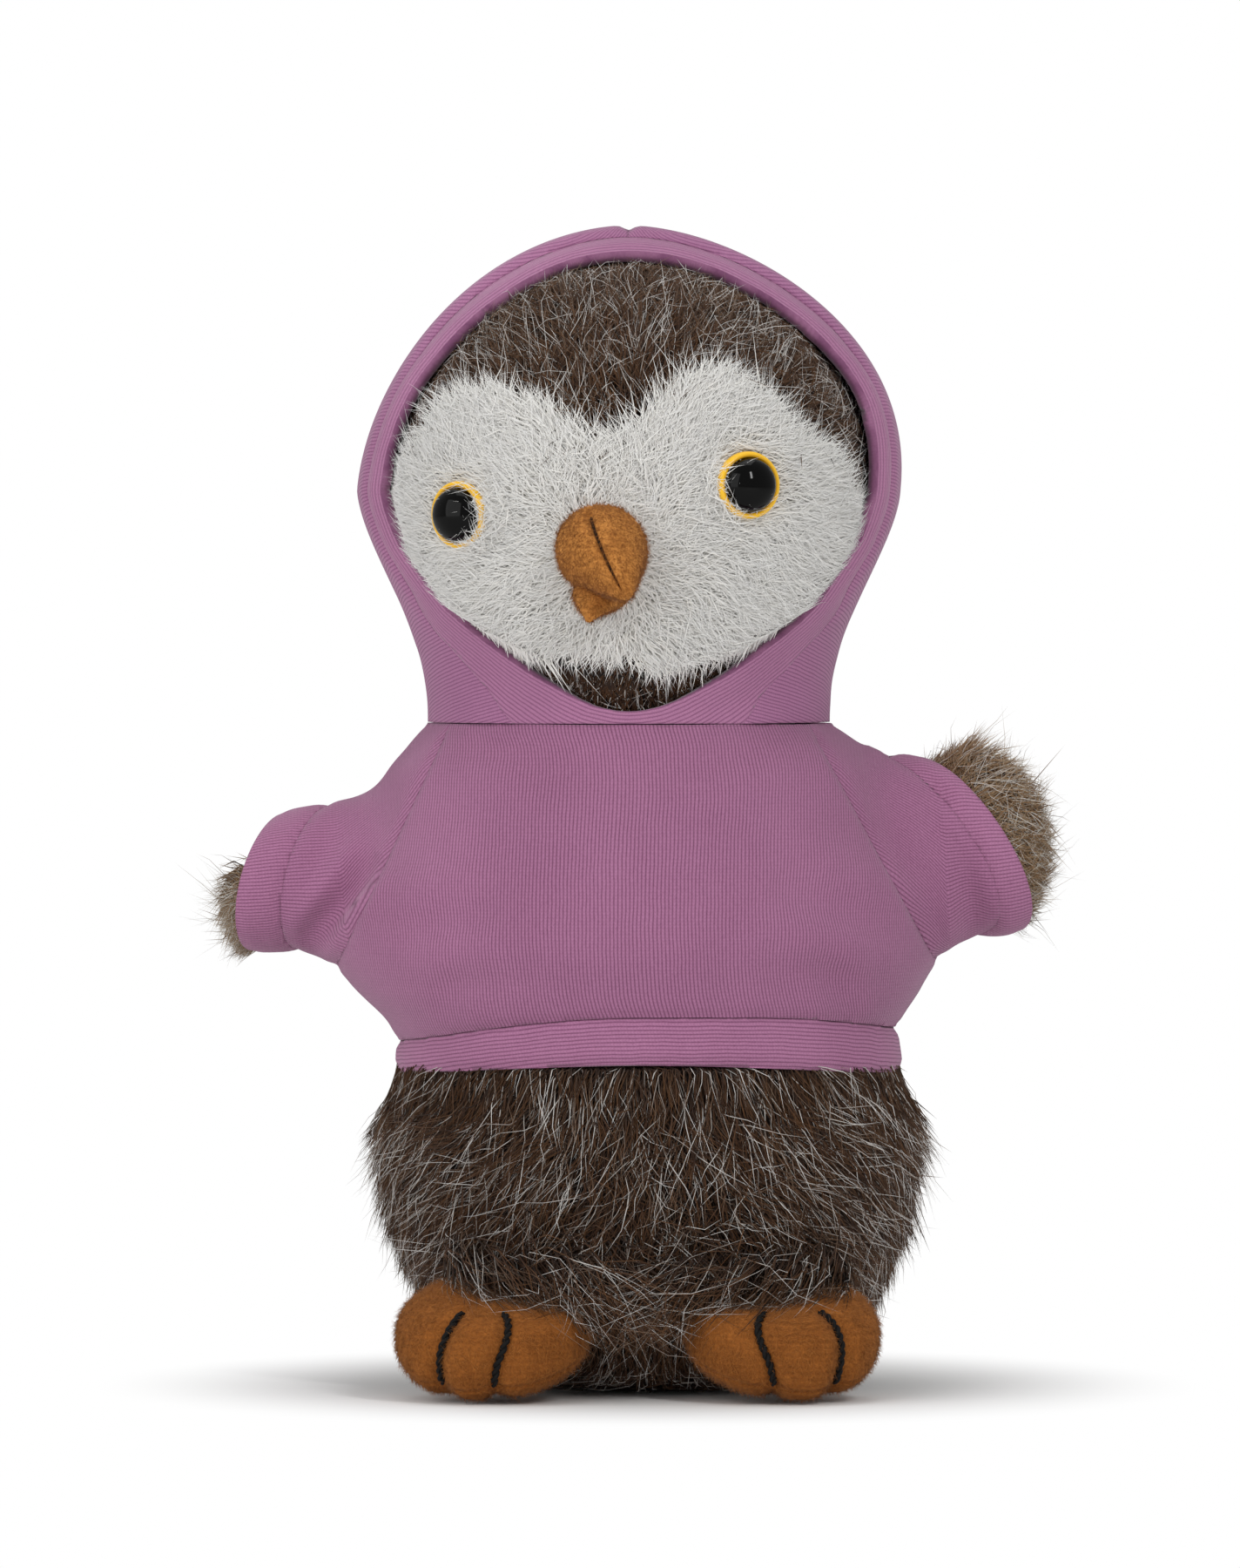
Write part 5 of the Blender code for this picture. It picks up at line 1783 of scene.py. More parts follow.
                halves = [g.keep((g.line[:, 0, 2] > 127 * MM) == upper) for g in groups]
                made.append(strands_object(f"face_pile_{label}_{part}", halves, 0.62))
        return made

    def over_eye(self, skin: Object, label: str) -> Strands:
        """Longer pile that stands at an eye's inner side and hangs over it.

        Args:
            skin: the face's raised backing.
            label: left or right.

        Returns:
            The strands.
        """
        place = self.eye_places()[label]
        spot = np.array(place.translation)
        axis = np.array(place.to_3x3() @ Vector((0, 0, 1)))
        reach, spread, count, lift = {"left": (6.2, 0.4, 1000, 1.8),
                                      "right": (6.3, 0.5, 560, 1.6)}[label]

        def flat(spots: Array) -> Array:
            """Where spots lie from the eye's axis."""
            away = spots - spot
            return away - (away @ axis)[:, None] * axis

        def inner(spots: Array) -> Array:
            """Which spots lie beside the eye, towards the beak."""
            away = flat(spots)
            far = np.linalg.norm(away, axis=1)
            side = unit(away) @ unit(flat(np.array(self.beak)[None])[0])
            ahead = (spots - spot) @ axis > -8 * MM
            return (far > 5.1 * MM) & (far < 7.6 * MM) & (side > spread) & ahead

        roots = scatter(skin, count, 47, inner)
        toward = -unit(flat(roots.place))
        comb = toward + np.random.default_rng(48).normal(size=toward.shape) * 0.45
        pile = Pile(count, reach * MM, 0.16, 0.24 * MM, lift, 0.45, 0.35, 0.5, 3)
        return grow(roots, comb, pile, 49, None, toward * 0.12)

    @staticmethod
    def under_hood(line: Array, depth: float, slope: float, lead: float) -> Array:
        """Keep points inside the hood, and free in its opening.

        Args:
            line: the points, in any grid.
            Grow the pile in four pieces.
            slope: how fast that grows ahead of the hood's edge.
            lead: how far behind the edge it begins to grow.

        Returns:
            The points, pressed in.
        """
        def allowed(spots: Array) -> Array:
            """How far outside the hood's outer face each spot may lie."""
            ahead = Hood.edge(spots[:, 2]) - spots[:, 1]
            return depth + slope * np.maximum(ahead + lead, 0) - Hood.sink(spots)

        return tuck(line, Hood().field, allowed)

    def grow_crown(self, skin: Object) -> list[Object]:
        """The brown pile of crown, temples and chin, only where the hood leaves it open.

        Args:
            skin: the head's backing.

        Returns:
            The pieces, clear of the body as the head turns.
        """
        def shown(spots: Array) -> Array:
            """Which spots aren't white and lie ahead of the hood."""
            return ~in_white(spots) & (spots[:, 1] < Hood.edge(spots[:, 2]) + 4 * MM)

        groups = {-1: [], 1: []}
        for number, pile in enumerate(self.crown):
            roots = scatter(skin, pile.count, 51 + number, shown)
            x, _, z = roots.place.T
            rng = np.random.default_rng(53 + number)
            upper = smooth(z, 128 * MM, 150 * MM)
            comb = np.stack([(x - HEAD_CENTRE.x) / (30 * MM), 0 * x - 0.2, 1.5 * upper - 0.75], 1)
            comb = comb + rng.normal(size=roots.place.shape) * 0.38
            chin = 1 - smooth(z, 108 * MM, 116 * MM)
            scale = 1 - 0.35 * chin - 0.3 * smooth(z, 160 * MM, 168 * MM)
            strands = grow(roots, comb, pile, 55 + number, scale)
            strands.line = self.under_hood(strands.line, -2.8 * MM, 0.8, -1.6 * MM)
            clear = strands.line[..., 2].min(1) > self.clear_height
            for sign, group in groups.items():
                group.append(strands.keep(clear & ((x - HEAD_CENTRE.x) * sign >= 0)))
        return [strands_object(f"crown_pile_{label}", groups[sign], 0.35)
                for label, sign in (("left", -1), ("right", 1))]

    def build(self) -> None:
        """Build and dress the head."""
        skin = self.backing("head_backing", -0.6 * MM)
        raised = self.backing("face_backing", 0.9 * MM)
        crown = self.grow_crown(skin)
        face = self.grow_face(raised)
        mesh = bmesh.new()
        mesh.from_mesh(raised.data)
        bpy.data.objects.remove(raised)
        panel = Cloth.thicken("face_backing", Cloth.panel(mesh, in_white), 1.4 * MM)
        fur, white = BROWN_FUR.make(), WHITE_FUR.make()
        # The backing's near-black colour is partly painted shade of the depth between the strands.
        finish_piece(skin, SkinFinish("brown head backing", "#1B120D").make(), Body.HEAD,
                     ("head_skin",))
        finish_piece(panel, SkinFinish("cream backing cloth", "#E6E0D4").make(), Body.HEAD,
                     ("face_panel",))
        declare(panel, 74 * MM, 50 * MM, 0.0027)
        for piece in crown:
            finish_piece(piece, fur, Body.HEAD)
        for piece in face:
            finish_piece(piece, white, Body.HEAD)
        self.build_eyes()
        LOG.info("head: %d strands", sum(pile.count for pile in self.crown + self.face))


# ---------------- hood

@dataclass
class Hood:
    """Two panels seamed over the crown and a hem round the face, tight at the neck."""

    voxel: float = 0.8 * MM
    creases: tuple[Crease, ...] = (
        Crease((-33.0, 117.0), (-14.0, 103.0), 2.4, -0.35),
        Crease((-31.0, 110.0), (-16.0, 101.5), 2.2, -0.3),
        Crease((29.0, 113.0), (12.0, 103.5), 2.4, -0.4),
        Crease((28.5, 107.0), (12.0, 102.0), 2.0, -0.35),
        Crease((-28.0, 128.0), (-12.0, 108.0), 4.0, -0.9, 1),
        Crease((24.0, 126.0), (8.0, 106.0), 4.0, -0.9, 1),
        Crease((-3.0, 118.0), (-6.0, 103.0), 3.5, -0.6, 1),
    )

    @staticmethod
    def edge(height: Array) -> Array:
        """Where the hood's front edge stands in Y at heights."""
        z = np.array([86, 100, 105.6, 111.2, 117.5, 126.6, 137.1, 156, 168.6, 191])
        y = np.array([-31.8, -30, -27.3, -23.7, -18.6, -15, -15, -14.1, -10.8, -6])
        return np.interp(height, z * MM, y * MM)

    @staticmethod
    def hem_line(height: Array) -> Array:
        """Where the hem's rear seam stands in Y.

        Args:
            height: heights.

        Returns:
            One Y each.
        """
        slope = (Hood.edge(height + 2 * MM) - Hood.edge(height - 2 * MM)) / (4 * MM)
        width = 5.6 * MM - 2.0 * MM * smooth(height, 155 * MM, 172 * MM)
        return Hood.edge(height) + width * np.sqrt(1 + slope**2)

    @staticmethod
    def sink(spots: Array) -> Array:
        """How much lower the hem lies than the dome behind it, over the crown."""
        ahead = Hood.hem_line(spots[:, 2]) - spots[:, 1]
        step = smooth(ahead, -1.5 * MM, 2.5 * MM)
        return 1.5 * MM * step * smooth(spots[:, 2], 148 * MM, 170 * MM)

    def field(self, spots: Array) -> Array:
        """Roughly how far each spot lies outside the hood.

        Args:
            spots: the points.

        Returns:
            One distance each.
        """
        x, y, z = spots.T
        rise = (z - HEAD_CENTRE.z) / (39.9 * MM)
        drop = np.clip((HEAD_CENTRE.z - z) / (HEAD_CENTRE.z - NECK), 0, 1)
        centre = HEAD_CENTRE.x + 1.3 * MM * np.sin(math.pi * np.clip(rise, 0, 1))
        ring = np.sqrt(((x - centre) / (41 * MM)) ** 2 + (y / (39.3 * MM)) ** 2)
        above = np.sqrt(np.maximum(ring, 1e-6) ** 1.786 + rise**2) - 1
        waist = NECK_SHARE + (1 - NECK_SHARE) * (1 - drop**1.6) ** 2.4
        return np.where(rise > 0, above, ring / waist - 1) * 38 * MM

    def surface(self) -> BMesh:
        """The whole dome as one even skin.

        Returns:
            The skin, open at the neck.
        """
        mesh = bmesh.new()
        bmesh.ops.create_uvsphere(mesh, u_segments=96, v_segments=64, radius=40 * MM)
        bmesh.ops.translate(mesh, verts=mesh.verts, vec=HEAD_CENTRE)
        low = bmesh.ops.create_cone(mesh, cap_ends=True, segments=96, radius1=30 * MM,
                                    radius2=38 * MM, depth=42 * MM)
        bmesh.ops.translate(mesh, verts=low["verts"], vec=(HEAD_CENTRE.x, 0, 117 * MM))
        mesh = even_skin(object_of("hood_form", mesh), self.voxel)
        Cloth.cut(mesh, (0, 0, NECK - 1.5 * MM), (0, 0, -1), True)

        def slack(spots: Array) -> Array:
            """Soft waves at the back, and the hem let in over the crown."""
            x, y, z = spots.T
            waves = 0.35 * MM * np.sin(z / (8 * MM) + x / (11 * MM))
            return waves * smooth(y, -5 * MM, 12 * MM) - Hood.sink(spots)

        Cloth.drape(mesh, self.field, 7, self.creases, slack)
        return mesh

    @staticmethod
    def lay(spots: Array) -> Array:
        """Wales run up each panel, turned to follow its cut, alike on both sides.

        Args:
            spots: points of the worn cloth.

        Returns:
            Where each lies in the flat cloth.
        """
        slant = 1.35
        turn = np.abs(np.arctan2(spots[:, 0] - HEAD_CENTRE.x, -spots[:, 1]))
        across, up = turn * HOOD_RADIUS, spots[:, 2] * 1.1
        return np.stack([across * math.cos(slant) + up * math.sin(slant),
                         up * math.cos(slant) - across * math.sin(slant)], 1)

    @staticmethod
    def lay_hem(spots: Array) -> Array:
        """The hem is folded over, so its wales run along the opening.

        Args:
            spots: points of the worn cloth.

        Returns:
            Where each lies in the flat cloth.
        """
        rim = spots[np.abs(spots[:, 1] - Hood.edge(spots[:, 2])) < 0.02 * MM]
        tree = search_tree(rim)
        across = np.array([tree.find(spot)[2] for spot in spots])
        turn = np.abs(np.arctan2(spots[:, 0] - HEAD_CENTRE.x, -spots[:, 1]))
        return np.stack([across, spots[:, 2] + turn * HOOD_RADIUS], 1)

    def build(self) -> None:
        """Cut the panels and the hem, roll their seams and dress them."""
        whole = self.surface()
        Cloth.cut(whole, (0, 0, NECK + 0.02 * MM), (0, 0, -1), True)
        Cloth.cut_curve(whole, Hood.edge, 1, 2, -1, True)
        Cloth.cut_curve(whole, Hood.hem_line, 1, 2)
        Cloth.cut(whole, HEAD_CENTRE, (1, 0, 0))

        def behind(spots: Array) -> Array:
            """Which spots lie behind the hem."""
            return spots[:, 1] > Hood.hem_line(spots[:, 2])

        def low_seam(height: float) -> float:
            """The seams fade out towards the neck."""
            return float(smooth(np.array(height), 110 * MM, 126 * MM))

        # The valley colours are painted shade between the knit's columns.
        knit = KnitFinish("mauve hood jersey", "#88547A", "#B67DA2").make()
        hem_knit = KnitFinish("folded mauve hood hem", "#8A567A", "#B980A4").make()
        for label, sign in (("left", -1), ("right", 1)):
            mesh = Cloth.panel(whole, lambda p: behind(p) & ((p[:, 0] - HEAD_CENTRE.x) * sign > 0))
            Cloth.layout(mesh, self.lay)
            Cloth.roll(mesh, 0.7 * MM, 1.0 * MM, 0.0, low_seam)
            piece = Cloth.thicken(f"hood_{label}_panel", mesh, CLOTH)
            finish_piece(piece, knit, Body.HEAD, (f"hood_{label}",))
            declare(piece, 75 * MM, 85 * MM, 0.0049)
        mesh = Cloth.panel(whole, lambda p: ~behind(p))
        Cloth.layout(mesh, self.lay_hem)
        Cloth.roll(mesh, 0.8 * MM, 1.3 * MM, 0.0, low_seam)
        hem = Cloth.thicken("hood_face_hem", mesh, 1.8 * MM)
        finish_piece(hem, hem_knit, Body.HEAD, ("hood_hem",))
        declare(hem, 200 * MM, 10 * MM, 0.0018)
        LOG.info("hood: %d faces in its hem", len(hem.data.polygons))


# ---------------- velour, thread and tubes

@dataclass(frozen=True)
class VelourFinish:
    """Short golden-brown velour: a fine grain of nap over faint knitted rows 0.9 mm apart."""

    name: str
    dark: str
    middle: str
    light: str

    def make(self) -> Material:
        """Build the material; the grain is 0.3 mm and the wear 4 mm across.

        Returns:
            The material.
        """
        made, tree, shader = new_material(self.name, {
            "Roughness": 0.95, "Specular IOR Level": 0.15, "Sheen Weight": 0.2,
            "Sheen Roughness": 0.5, "Sheen Tint": linear("#E8B070")})
        where = add_node(tree, "TexCoord").outputs["Object"]
        grain = add_node(tree, "TexNoise", named={
            "Vector": where, "Scale": 2600.0, "Detail": 4.0, "Roughness": 0.65})
        wear = add_node(tree, "TexNoise", named={"Vector": where, "Scale": 240.0, "Detail": 3.0})
        up = add_node(tree, "SeparateXYZ", where).outputs[2]
        wavy = add_node(tree, "Math", wear, 6.0, 0.0, operation="MULTIPLY_ADD")
        pitch = 2 * math.pi / (0.9 * MM)
        row = add_node(tree, "Math", up, pitch, wavy, operation="MULTIPLY_ADD")
        beat = add_node(tree, "Math", row, operation="SINE")
        rows = add_node(tree, "Math", beat, 0.05, operation="MULTIPLY")
        level = add_node(tree, "Math", grain, 0.8, -0.1, operation="MULTIPLY_ADD")
        level = add_node(tree, "Math", level, rows, operation="ADD")
        patch = add_node(tree, "Math", wear, 0.7, -0.35, operation="MULTIPLY_ADD")
        level = add_node(tree, "Math", level, patch, operation="ADD")
        colour = add_node(tree, "ValToRGB", level, stops=(
            (0.05, self.dark), (0.45, self.middle), (0.9, self.light)))
        height = add_node(tree, "Math", grain, rows, operation="ADD")
        bump = add_node(tree, "Bump", named={
            "Strength": 0.7, "Distance": 0.18 * MM, "Height": height})
        fill(tree, shader, {"Base Color": colour, "Normal": bump})
        return made


@dataclass(frozen=True)
class GrainFinish:
    """Thread, stuffing, pellet bag or washer: a grain of one scale between two colours."""

    name: str
    low: str
    high: str
    scale: float
    relief: float
    roughness: float
    kind: str = "TexNoise"
    detail: float = 2.0
    ends: tuple[float, float] = (0.2, 0.7)
    strength: float = 0.7
    specular: float = 0.5

    def make(self) -> Material:
        """Build the material from a noise, or from cells.

        Returns:
            The material.
        """
        made, tree, shader = new_material(self.name, {
            "Roughness": self.roughness, "Specular IOR Level": self.specular})
        where = add_node(tree, "TexCoord").outputs["Object"]
        named = {"Vector": where, "Scale": self.scale}
        if self.kind == "TexNoise":
            named["Detail"] = self.detail
        grain = add_node(tree, self.kind, named=named)
        colour = add_node(tree, "ValToRGB", grain, stops=tuple(zip(self.ends,
                                                                   (self.low, self.high))))
        bump = add_node(tree, "Bump", named={
            "Strength": self.strength, "Distance": self.relief, "Height": grain})
        fill(tree, shader, {"Base Color": colour, "Normal": bump})
        return made


def thread_finish(name: str, dark: str, light: str) -> GrainFinish:
    """Twisted cotton thread: a dull shine, and lint at a grain of 0.15 mm.

    Args:
        name: the thread's name.
        dark: its colour.
        light: the colour of its lint.

    Returns:
        Its finish.
    """
    return GrainFinish(name, dark, light, 5200.0, 0.05 * MM, 0.8, detail=3.0,
                       ends=(0.35, 0.75), strength=0.6, specular=0.25)


VELOUR_FUZZ = FurFinish(
    # The nap's own fibres, lighter at their tips where they catch the light
    name="golden velour nap",
    under=((0.0, "#8A4F1E"), (1.0, "#A9662A")),
    under_light=((0.0, "#9C5E27"), (1.0, "#C9843F")),
    guard=((0.0, "#9C5E27"), (1.0, "#C28040")),
    guard_light=((0.0, "#AA6A2E"), (1.0, "#DB9A52")),
    roughness=0.85,
    sheen=0.05,
)


def path_frame(path: Array, side_way: Array) -> tuple[Array, Array]:
    """Two directions square to a path at each of its points.

    Args:
        path: the points.
        side_way: roughly where the first direction goes.

    Returns:
        Both directions.
    """
    tangent = unit(np.gradient(path, axis=0))
    first = unit(side_way - (tangent @ side_way)[:, None] * tangent)
    return first, np.cross(tangent, first)


def tube_spots(path: Array, radius: float, side_way: Array) -> Array:
    """Rings of eight points round a path, tapered at both ends.

    Args:
        path: the points.
        radius: the tube's.
        side_way: roughly where each ring begins.

    Returns:
        Points as (path, 8, 3).
    """
    first, second = path_frame(path, side_way)
    angle = np.linspace(0, 2 * math.pi, 8, endpoint=False)
    share = np.linspace(-1, 1, len(path))
    size = radius * np.sqrt(np.maximum(1 - share**14, 0.04))
    around = np.cos(angle)[None, :, None] * first[:, None]
    around = around + np.sin(angle)[None, :, None] * second[:, None]
    return path[:, None] + around * size[:, None, None]


def twisted_thread(name: str, path: Array, ply_radius: float, pitch: float,
                   side_way: Array) -> Object:
    """A thread of two plies wound round each other along a path.

    Args:
        name: its name.
        path: the points.
        ply_radius: the radius of a ply.
        pitch: the length of one turn.
        side_way: roughly where the first ply begins.

    Returns:
        The thread.
    """
    step = np.linalg.norm(np.diff(path, axis=0), axis=1)
    length = np.concatenate([[0], np.cumsum(step)])
    fine = np.linspace(0, length[-1], max(int(length[-1] / (0.22 * MM)), 8))
    path = np.stack([np.interp(fine, length, path[:, axis]) for axis in range(3)], 1)
    first, second = path_frame(path, side_way)
    plies = []
    for ply in range(2):
        turn = 2 * math.pi * fine / pitch + math.pi * ply
        push = first * np.cos(turn)[:, None] + second * np.sin(turn)[:, None]
        centre = path + push * ply_radius * 0.8
        plies.append(grid_object(f"{name}_ply_{ply}", tube_spots(centre, ply_radius, side_way)))
    return joined(name, plies)


def tuck(line: Array, field: Field,
         allowed: Field) -> Array:
    """Press strands inwards where cloth lies over them.

    Args:
        line: centre lines of the strands.
        field: how far a spot lies outside the cloth's outer face.
        allowed: how far outside it may lie there.

    Returns:
        The centre lines, pressed in.
    """
    spots = line.reshape(-1, 3)
    for _ in range(2):
        value, slope, size = steepness(field, spots, 0.1 * MM)
        over = np.maximum(value - allowed(spots), 0)
        spots = spots - slope * (over / size)[:, None]
    return spots.reshape(line.shape)


# ---------------- wings

@dataclass(frozen=True)
class Wing:
    """One furry wing inside its sleeve, showing beyond the cuff."""

    arm: Arm
    length: float
    half_high: float
    half_deep: float
    droop: float
    highest: float
    # Count, length, its spread, thickness, lift, splay, curl, clump and rings of each strand
    pile: tuple[Pile, ...] = (
        Pile(6500, 5.27 * MM, 0.2, 0.32 * MM, 0.8, 0.5, 0.55, 0.6, 2),
        Pile(2600, 5.704 * MM, 0.14, 0.18 * MM, 0.7, 0.5, 1.0, 0.5, 5, True),
    )

    def backing(self) -> Object:
        """The closed mitten form, slim enough to slide in the sleeve.

        Returns:
            Its object.
        """
        straight = self.length - self.half_high * 0.75
        tip = self.length - straight
        root = 6.5 * MM
        ends = np.sin(np.radians(np.linspace(8, 88, 9)))
        along = np.concatenate([-root * np.cos(np.radians(np.linspace(10, 90, 8))),
                                np.linspace(2 * MM, straight, 12), straight + tip * ends])
        grown = np.clip(along / straight, 0, 1) ** 0.8
        close = np.sqrt(np.clip(1 - np.maximum((along - straight) / tip, 0) ** 2, 0, 1))
        start = np.sqrt(np.clip(1 - np.maximum(-along / root, 0) ** 2, 0, 1))
        high, deep = ((root + (size - root) * grown) * close * start
                      for size in (self.half_high, self.half_deep))
        return grid_object(f"{self.arm.label}_wing_backing",
                           self.arm.rings(along, high, deep, 40))

    def build(self) -> None:
        """Build and dress the wing."""
        arm = self.arm
        skin = self.backing()

        def shown(spots: Array) -> Array:
            """Which spots lie near or beyond the cuff, and not too high."""
            return (arm.beyond_cuff(spots, 5 * MM) > 0) & (arm.frame(spots)[1] < self.highest)

        def allowed(spots: Array) -> Array:
            """How far outside the sleeve's outer face each spot may lie."""
            return -2.1 * MM + 1.1 * np.maximum(arm.beyond_cuff(spots, 0.6 * MM), 0)

        groups = []
        for number, pile in enumerate(self.pile):
            roots = scatter(skin, pile.count, 71 + number + 4 * (arm.sign > 0), shown)
            rng = np.random.default_rng(75 + number)
            comb = arm.axes()[1] + np.array([0, -0.2, -self.droop])
            comb = comb + rng.normal(size=roots.place.shape) * 0.45
            down = np.array([0, 0, -0.3 * self.droop])
            strands = grow(roots, comb, pile, 77 + number, None, down)
            strands.line = tuck(strands.line, arm.field, allowed)
            tips = arm.frame(strands.line[:, -1])[1]
            groups.append(strands.keep(tips < self.highest + 3 * MM))
        fur = strands_object(f"{arm.label}_wing_pile", groups, 0.35)
        # The backing's dark colour is partly painted shade of the depth between the strands.
        finish_piece(skin, SkinFinish(f"tan wing backing {arm.label}", "#2C1D12").make(),
                     arm.body, (f"{arm.label}_wing",))
        finish_piece(fur, WING_FUR.make(), arm.body)
        LOG.info("%s wing: %d strands", arm.label, sum(pile.count for pile in self.pile))


WING_FUR = FurFinish(
    # The wings' pile is a warmer tan than the body's, with curly silver guard hair; its darker
    # roots are partly painted shade deep in the pile
    name="tan frosted wing pile",
    under=((0.0, "#1E130B"), (0.45, "#4E341F"), (1.0, "#866341")),
    under_light=((0.0, "#2A1B10"), (0.45, "#755233"), (1.0, "#C2A27A")),
    guard=((0.0, "#2A1B10"), (0.4, "#6B4E35"), (0.7, "#9A8468"), (1.0, "#C9BBA6")),
    guard_light=((0.0, "#4A3626"), (0.3, "#9A8A78"), (0.55, "#D3CEC6"), (1.0, "#F4F2EE")),
    roughness=0.55,
    sheen=0.15,
)


# ---------------- feet

@dataclass(frozen=True)
class Foot:
    """One stuffed velour foot with two toe stitches, its sole on the ground."""

    label: str
    sign: int
    centre_x: float
    width: float = 29 * MM
    length: float = 30 * MM
    thickness: float = 14 * MM
    pitch: float = math.radians(22)
    spread: float = math.radians(16)
    groove: float = 1.5 * MM
    toe_lines: tuple[tuple[float, float], tuple[float, float]] = ((-21, -18), (15, 34))
    nap: Pile = Pile(14000, 0.95 * MM, 0.3, 0.11 * MM, 1.1, 0.8, 0.4, 0.0, 1)

    @staticmethod
    def toe_line(line: tuple[float, float], up_angle: Array) -> Array:
        """A stitch's direction from the foot's middle, from its degrees at the sole and on top."""
        share = smooth(up_angle, math.radians(-20), math.radians(72))
        return np.radians(line[0] + (line[1] - line[0]) * share)

    def place(self) -> Matrix:
        """The foot's own frame.

        Returns:
            A placement whose -Y looks to the toes, tipped down at the front.
        """
        sink = self.length / 2 * math.sin(self.pitch) * 0.62
        centre = Vector((self.centre_x, -31 * MM, self.thickness / 2 + sink - 0.5 * MM))
        yaw = Matrix.Rotation(self.sign * self.spread, 4, "Z")
        return Matrix.Translation(centre) @ yaw @ Matrix.Rotation(self.pitch, 4, "X")

    def spots(self, around: Array, up_angle: Array, grow: float = 0.0) -> Array:
        """Points on the foot, as in the CAD, with a seam line above the sole.

        Args:
            around: angles about the upright, 0 at the toes.
            up_angle: angles above the level, of the same shape.
            grow: how far outside the foot.

        Returns:
            One point for each pair of angles.
        """
        toes = sum(np.exp(-((around - self.toe_line(line, up_angle)) / math.radians(8)) ** 2)
                   for line in self.toe_lines)
        toes = toes * self.groove * (np.cos(around) > 0)
        flat = np.cos(up_angle) ** 0.6
        seam = 0.35 * MM * np.exp(-((up_angle - math.radians(-20)) / math.radians(3)) ** 2)
        rise = np.sign(up_angle) * np.abs(np.sin(up_angle)) ** 0.8
        local = np.stack([
            np.sin(around) * ((self.width / 2 - toes - seam) * flat + grow),
            -np.cos(around) * ((self.length / 2 - toes - seam) * flat + grow),
            rise * (self.thickness / 2 - toes * 0.7 * flat) + grow * np.sin(up_angle),
        ], -1)
        matrix = np.array(self.place())
        spots = local @ matrix[:3, :3].T + matrix[:3, 3]
        high = np.maximum(spots[..., 2] - 11 * MM, 0)
        inner = 1 - 0.8 * smooth(spots[..., 0] * self.sign, 15 * MM, 31 * MM)
        fall = inner * high**2 / (high + 7 * MM)
        spots[..., 2] = np.maximum(spots[..., 2] - fall, 0.05 * MM)
        wide, deep = body_halves(np.minimum(spots[..., 2].ravel(), NECK), 0.2 * MM)
        wide, deep = wide.reshape(spots.shape[:-1]), deep.reshape(spots.shape[:-1])
        ring = np.sqrt((spots[..., 0] / wide) ** 2 + (spots[..., 1] / deep) ** 2)
        out = np.maximum(1 / np.maximum(ring, 0.3), 1.0)
        spots[..., :2] *= out[..., None]
        return spots

    def lay_on(self, line: Array) -> Array:
        """Lift strands that would run through the foot, so that they lie on top of it.

        Args:
            line: their centre lines.

        Returns:
            The centre lines, lifted.
        """
        around = np.linspace(-math.pi, math.pi, 120, endpoint=False)
        up = np.radians(np.linspace(0, 88, 40))
        crust = self.spots(*np.broadcast_arrays(around[None, :], up[:, None])).reshape(-1, 3)
        tree = search_tree(crust * [1, 1, 0])
        made = line.copy()
        for spot in made.reshape(-1, 3):
            _, index, away = tree.find((spot[0], spot[1], 0))
            if away < 0.9 * MM:
                spot[2] = max(spot[2], crust[index][2] + 0.4 * MM)
        return made

    def build(self) -> None:
        """Build and dress the foot, its nap and its stitches."""
        around = np.linspace(-math.pi, math.pi, 160, endpoint=False)
        up = np.radians(np.concatenate([np.linspace(-84, -28, 12), np.linspace(-26, -14, 13),
                                        np.linspace(-10, 84, 26)]))
        grid = self.spots(*np.broadcast_arrays(around[None, :], up[:, None]))
        foot = grid_object(f"{self.label}_velour_foot", grid)
        velour = VelourFinish(f"golden velour {self.label} foot", "#74421A", "#9E5F29", "#C98440")
        finish_piece(foot, velour.make(), Body.TORSO, (f"{self.label}_foot",))
        front = scatter(foot, self.nap.count, 91 + self.sign,
                        lambda p: (p[:, 2] > 0.6 * MM) & (p[:, 1] < -20 * MM))
        rng = np.random.default_rng(95)
        comb = np.array([0, -0.5, -0.6]) + rng.normal(size=front.place.shape) * 0.8
        nap = strands_object(f"{self.label}_foot_nap", [grow(front, comb, self.nap, 96)], 0.85)
        finish_piece(nap, VELOUR_FUZZ.make(), Body.TORSO)
        thread = thread_finish(f"black toe thread {self.label}", "#050505", "#1B1918").make()
        labels = ("inner", "outer") if self.sign < 0 else ("outer", "inner")
        for label, line in zip(labels, self.toe_lines[::-1]):
            up = np.radians(np.linspace(-20, 72, 50))
            path = self.spots(self.toe_line(line, up), up, 0.38 * MM)
            stitch = twisted_thread(f"{self.label}_toe_thread_{label}", path, 0.33 * MM,
                                    2.6 * MM, np.array([1.0, 0, 0]))
            finish_piece(stitch, thread, Body.TORSO,
                         (f"{self.label}_foot_stitch_{label}",))
        LOG.info("%s foot: %d fibres", self.label, self.nap.count)


FEET = (Foot("left", -1, -23 * MM),
        Foot("right", 1, 19.6 * MM, toe_lines=((-20, -42), (23, 30))))


# ---------------- beak

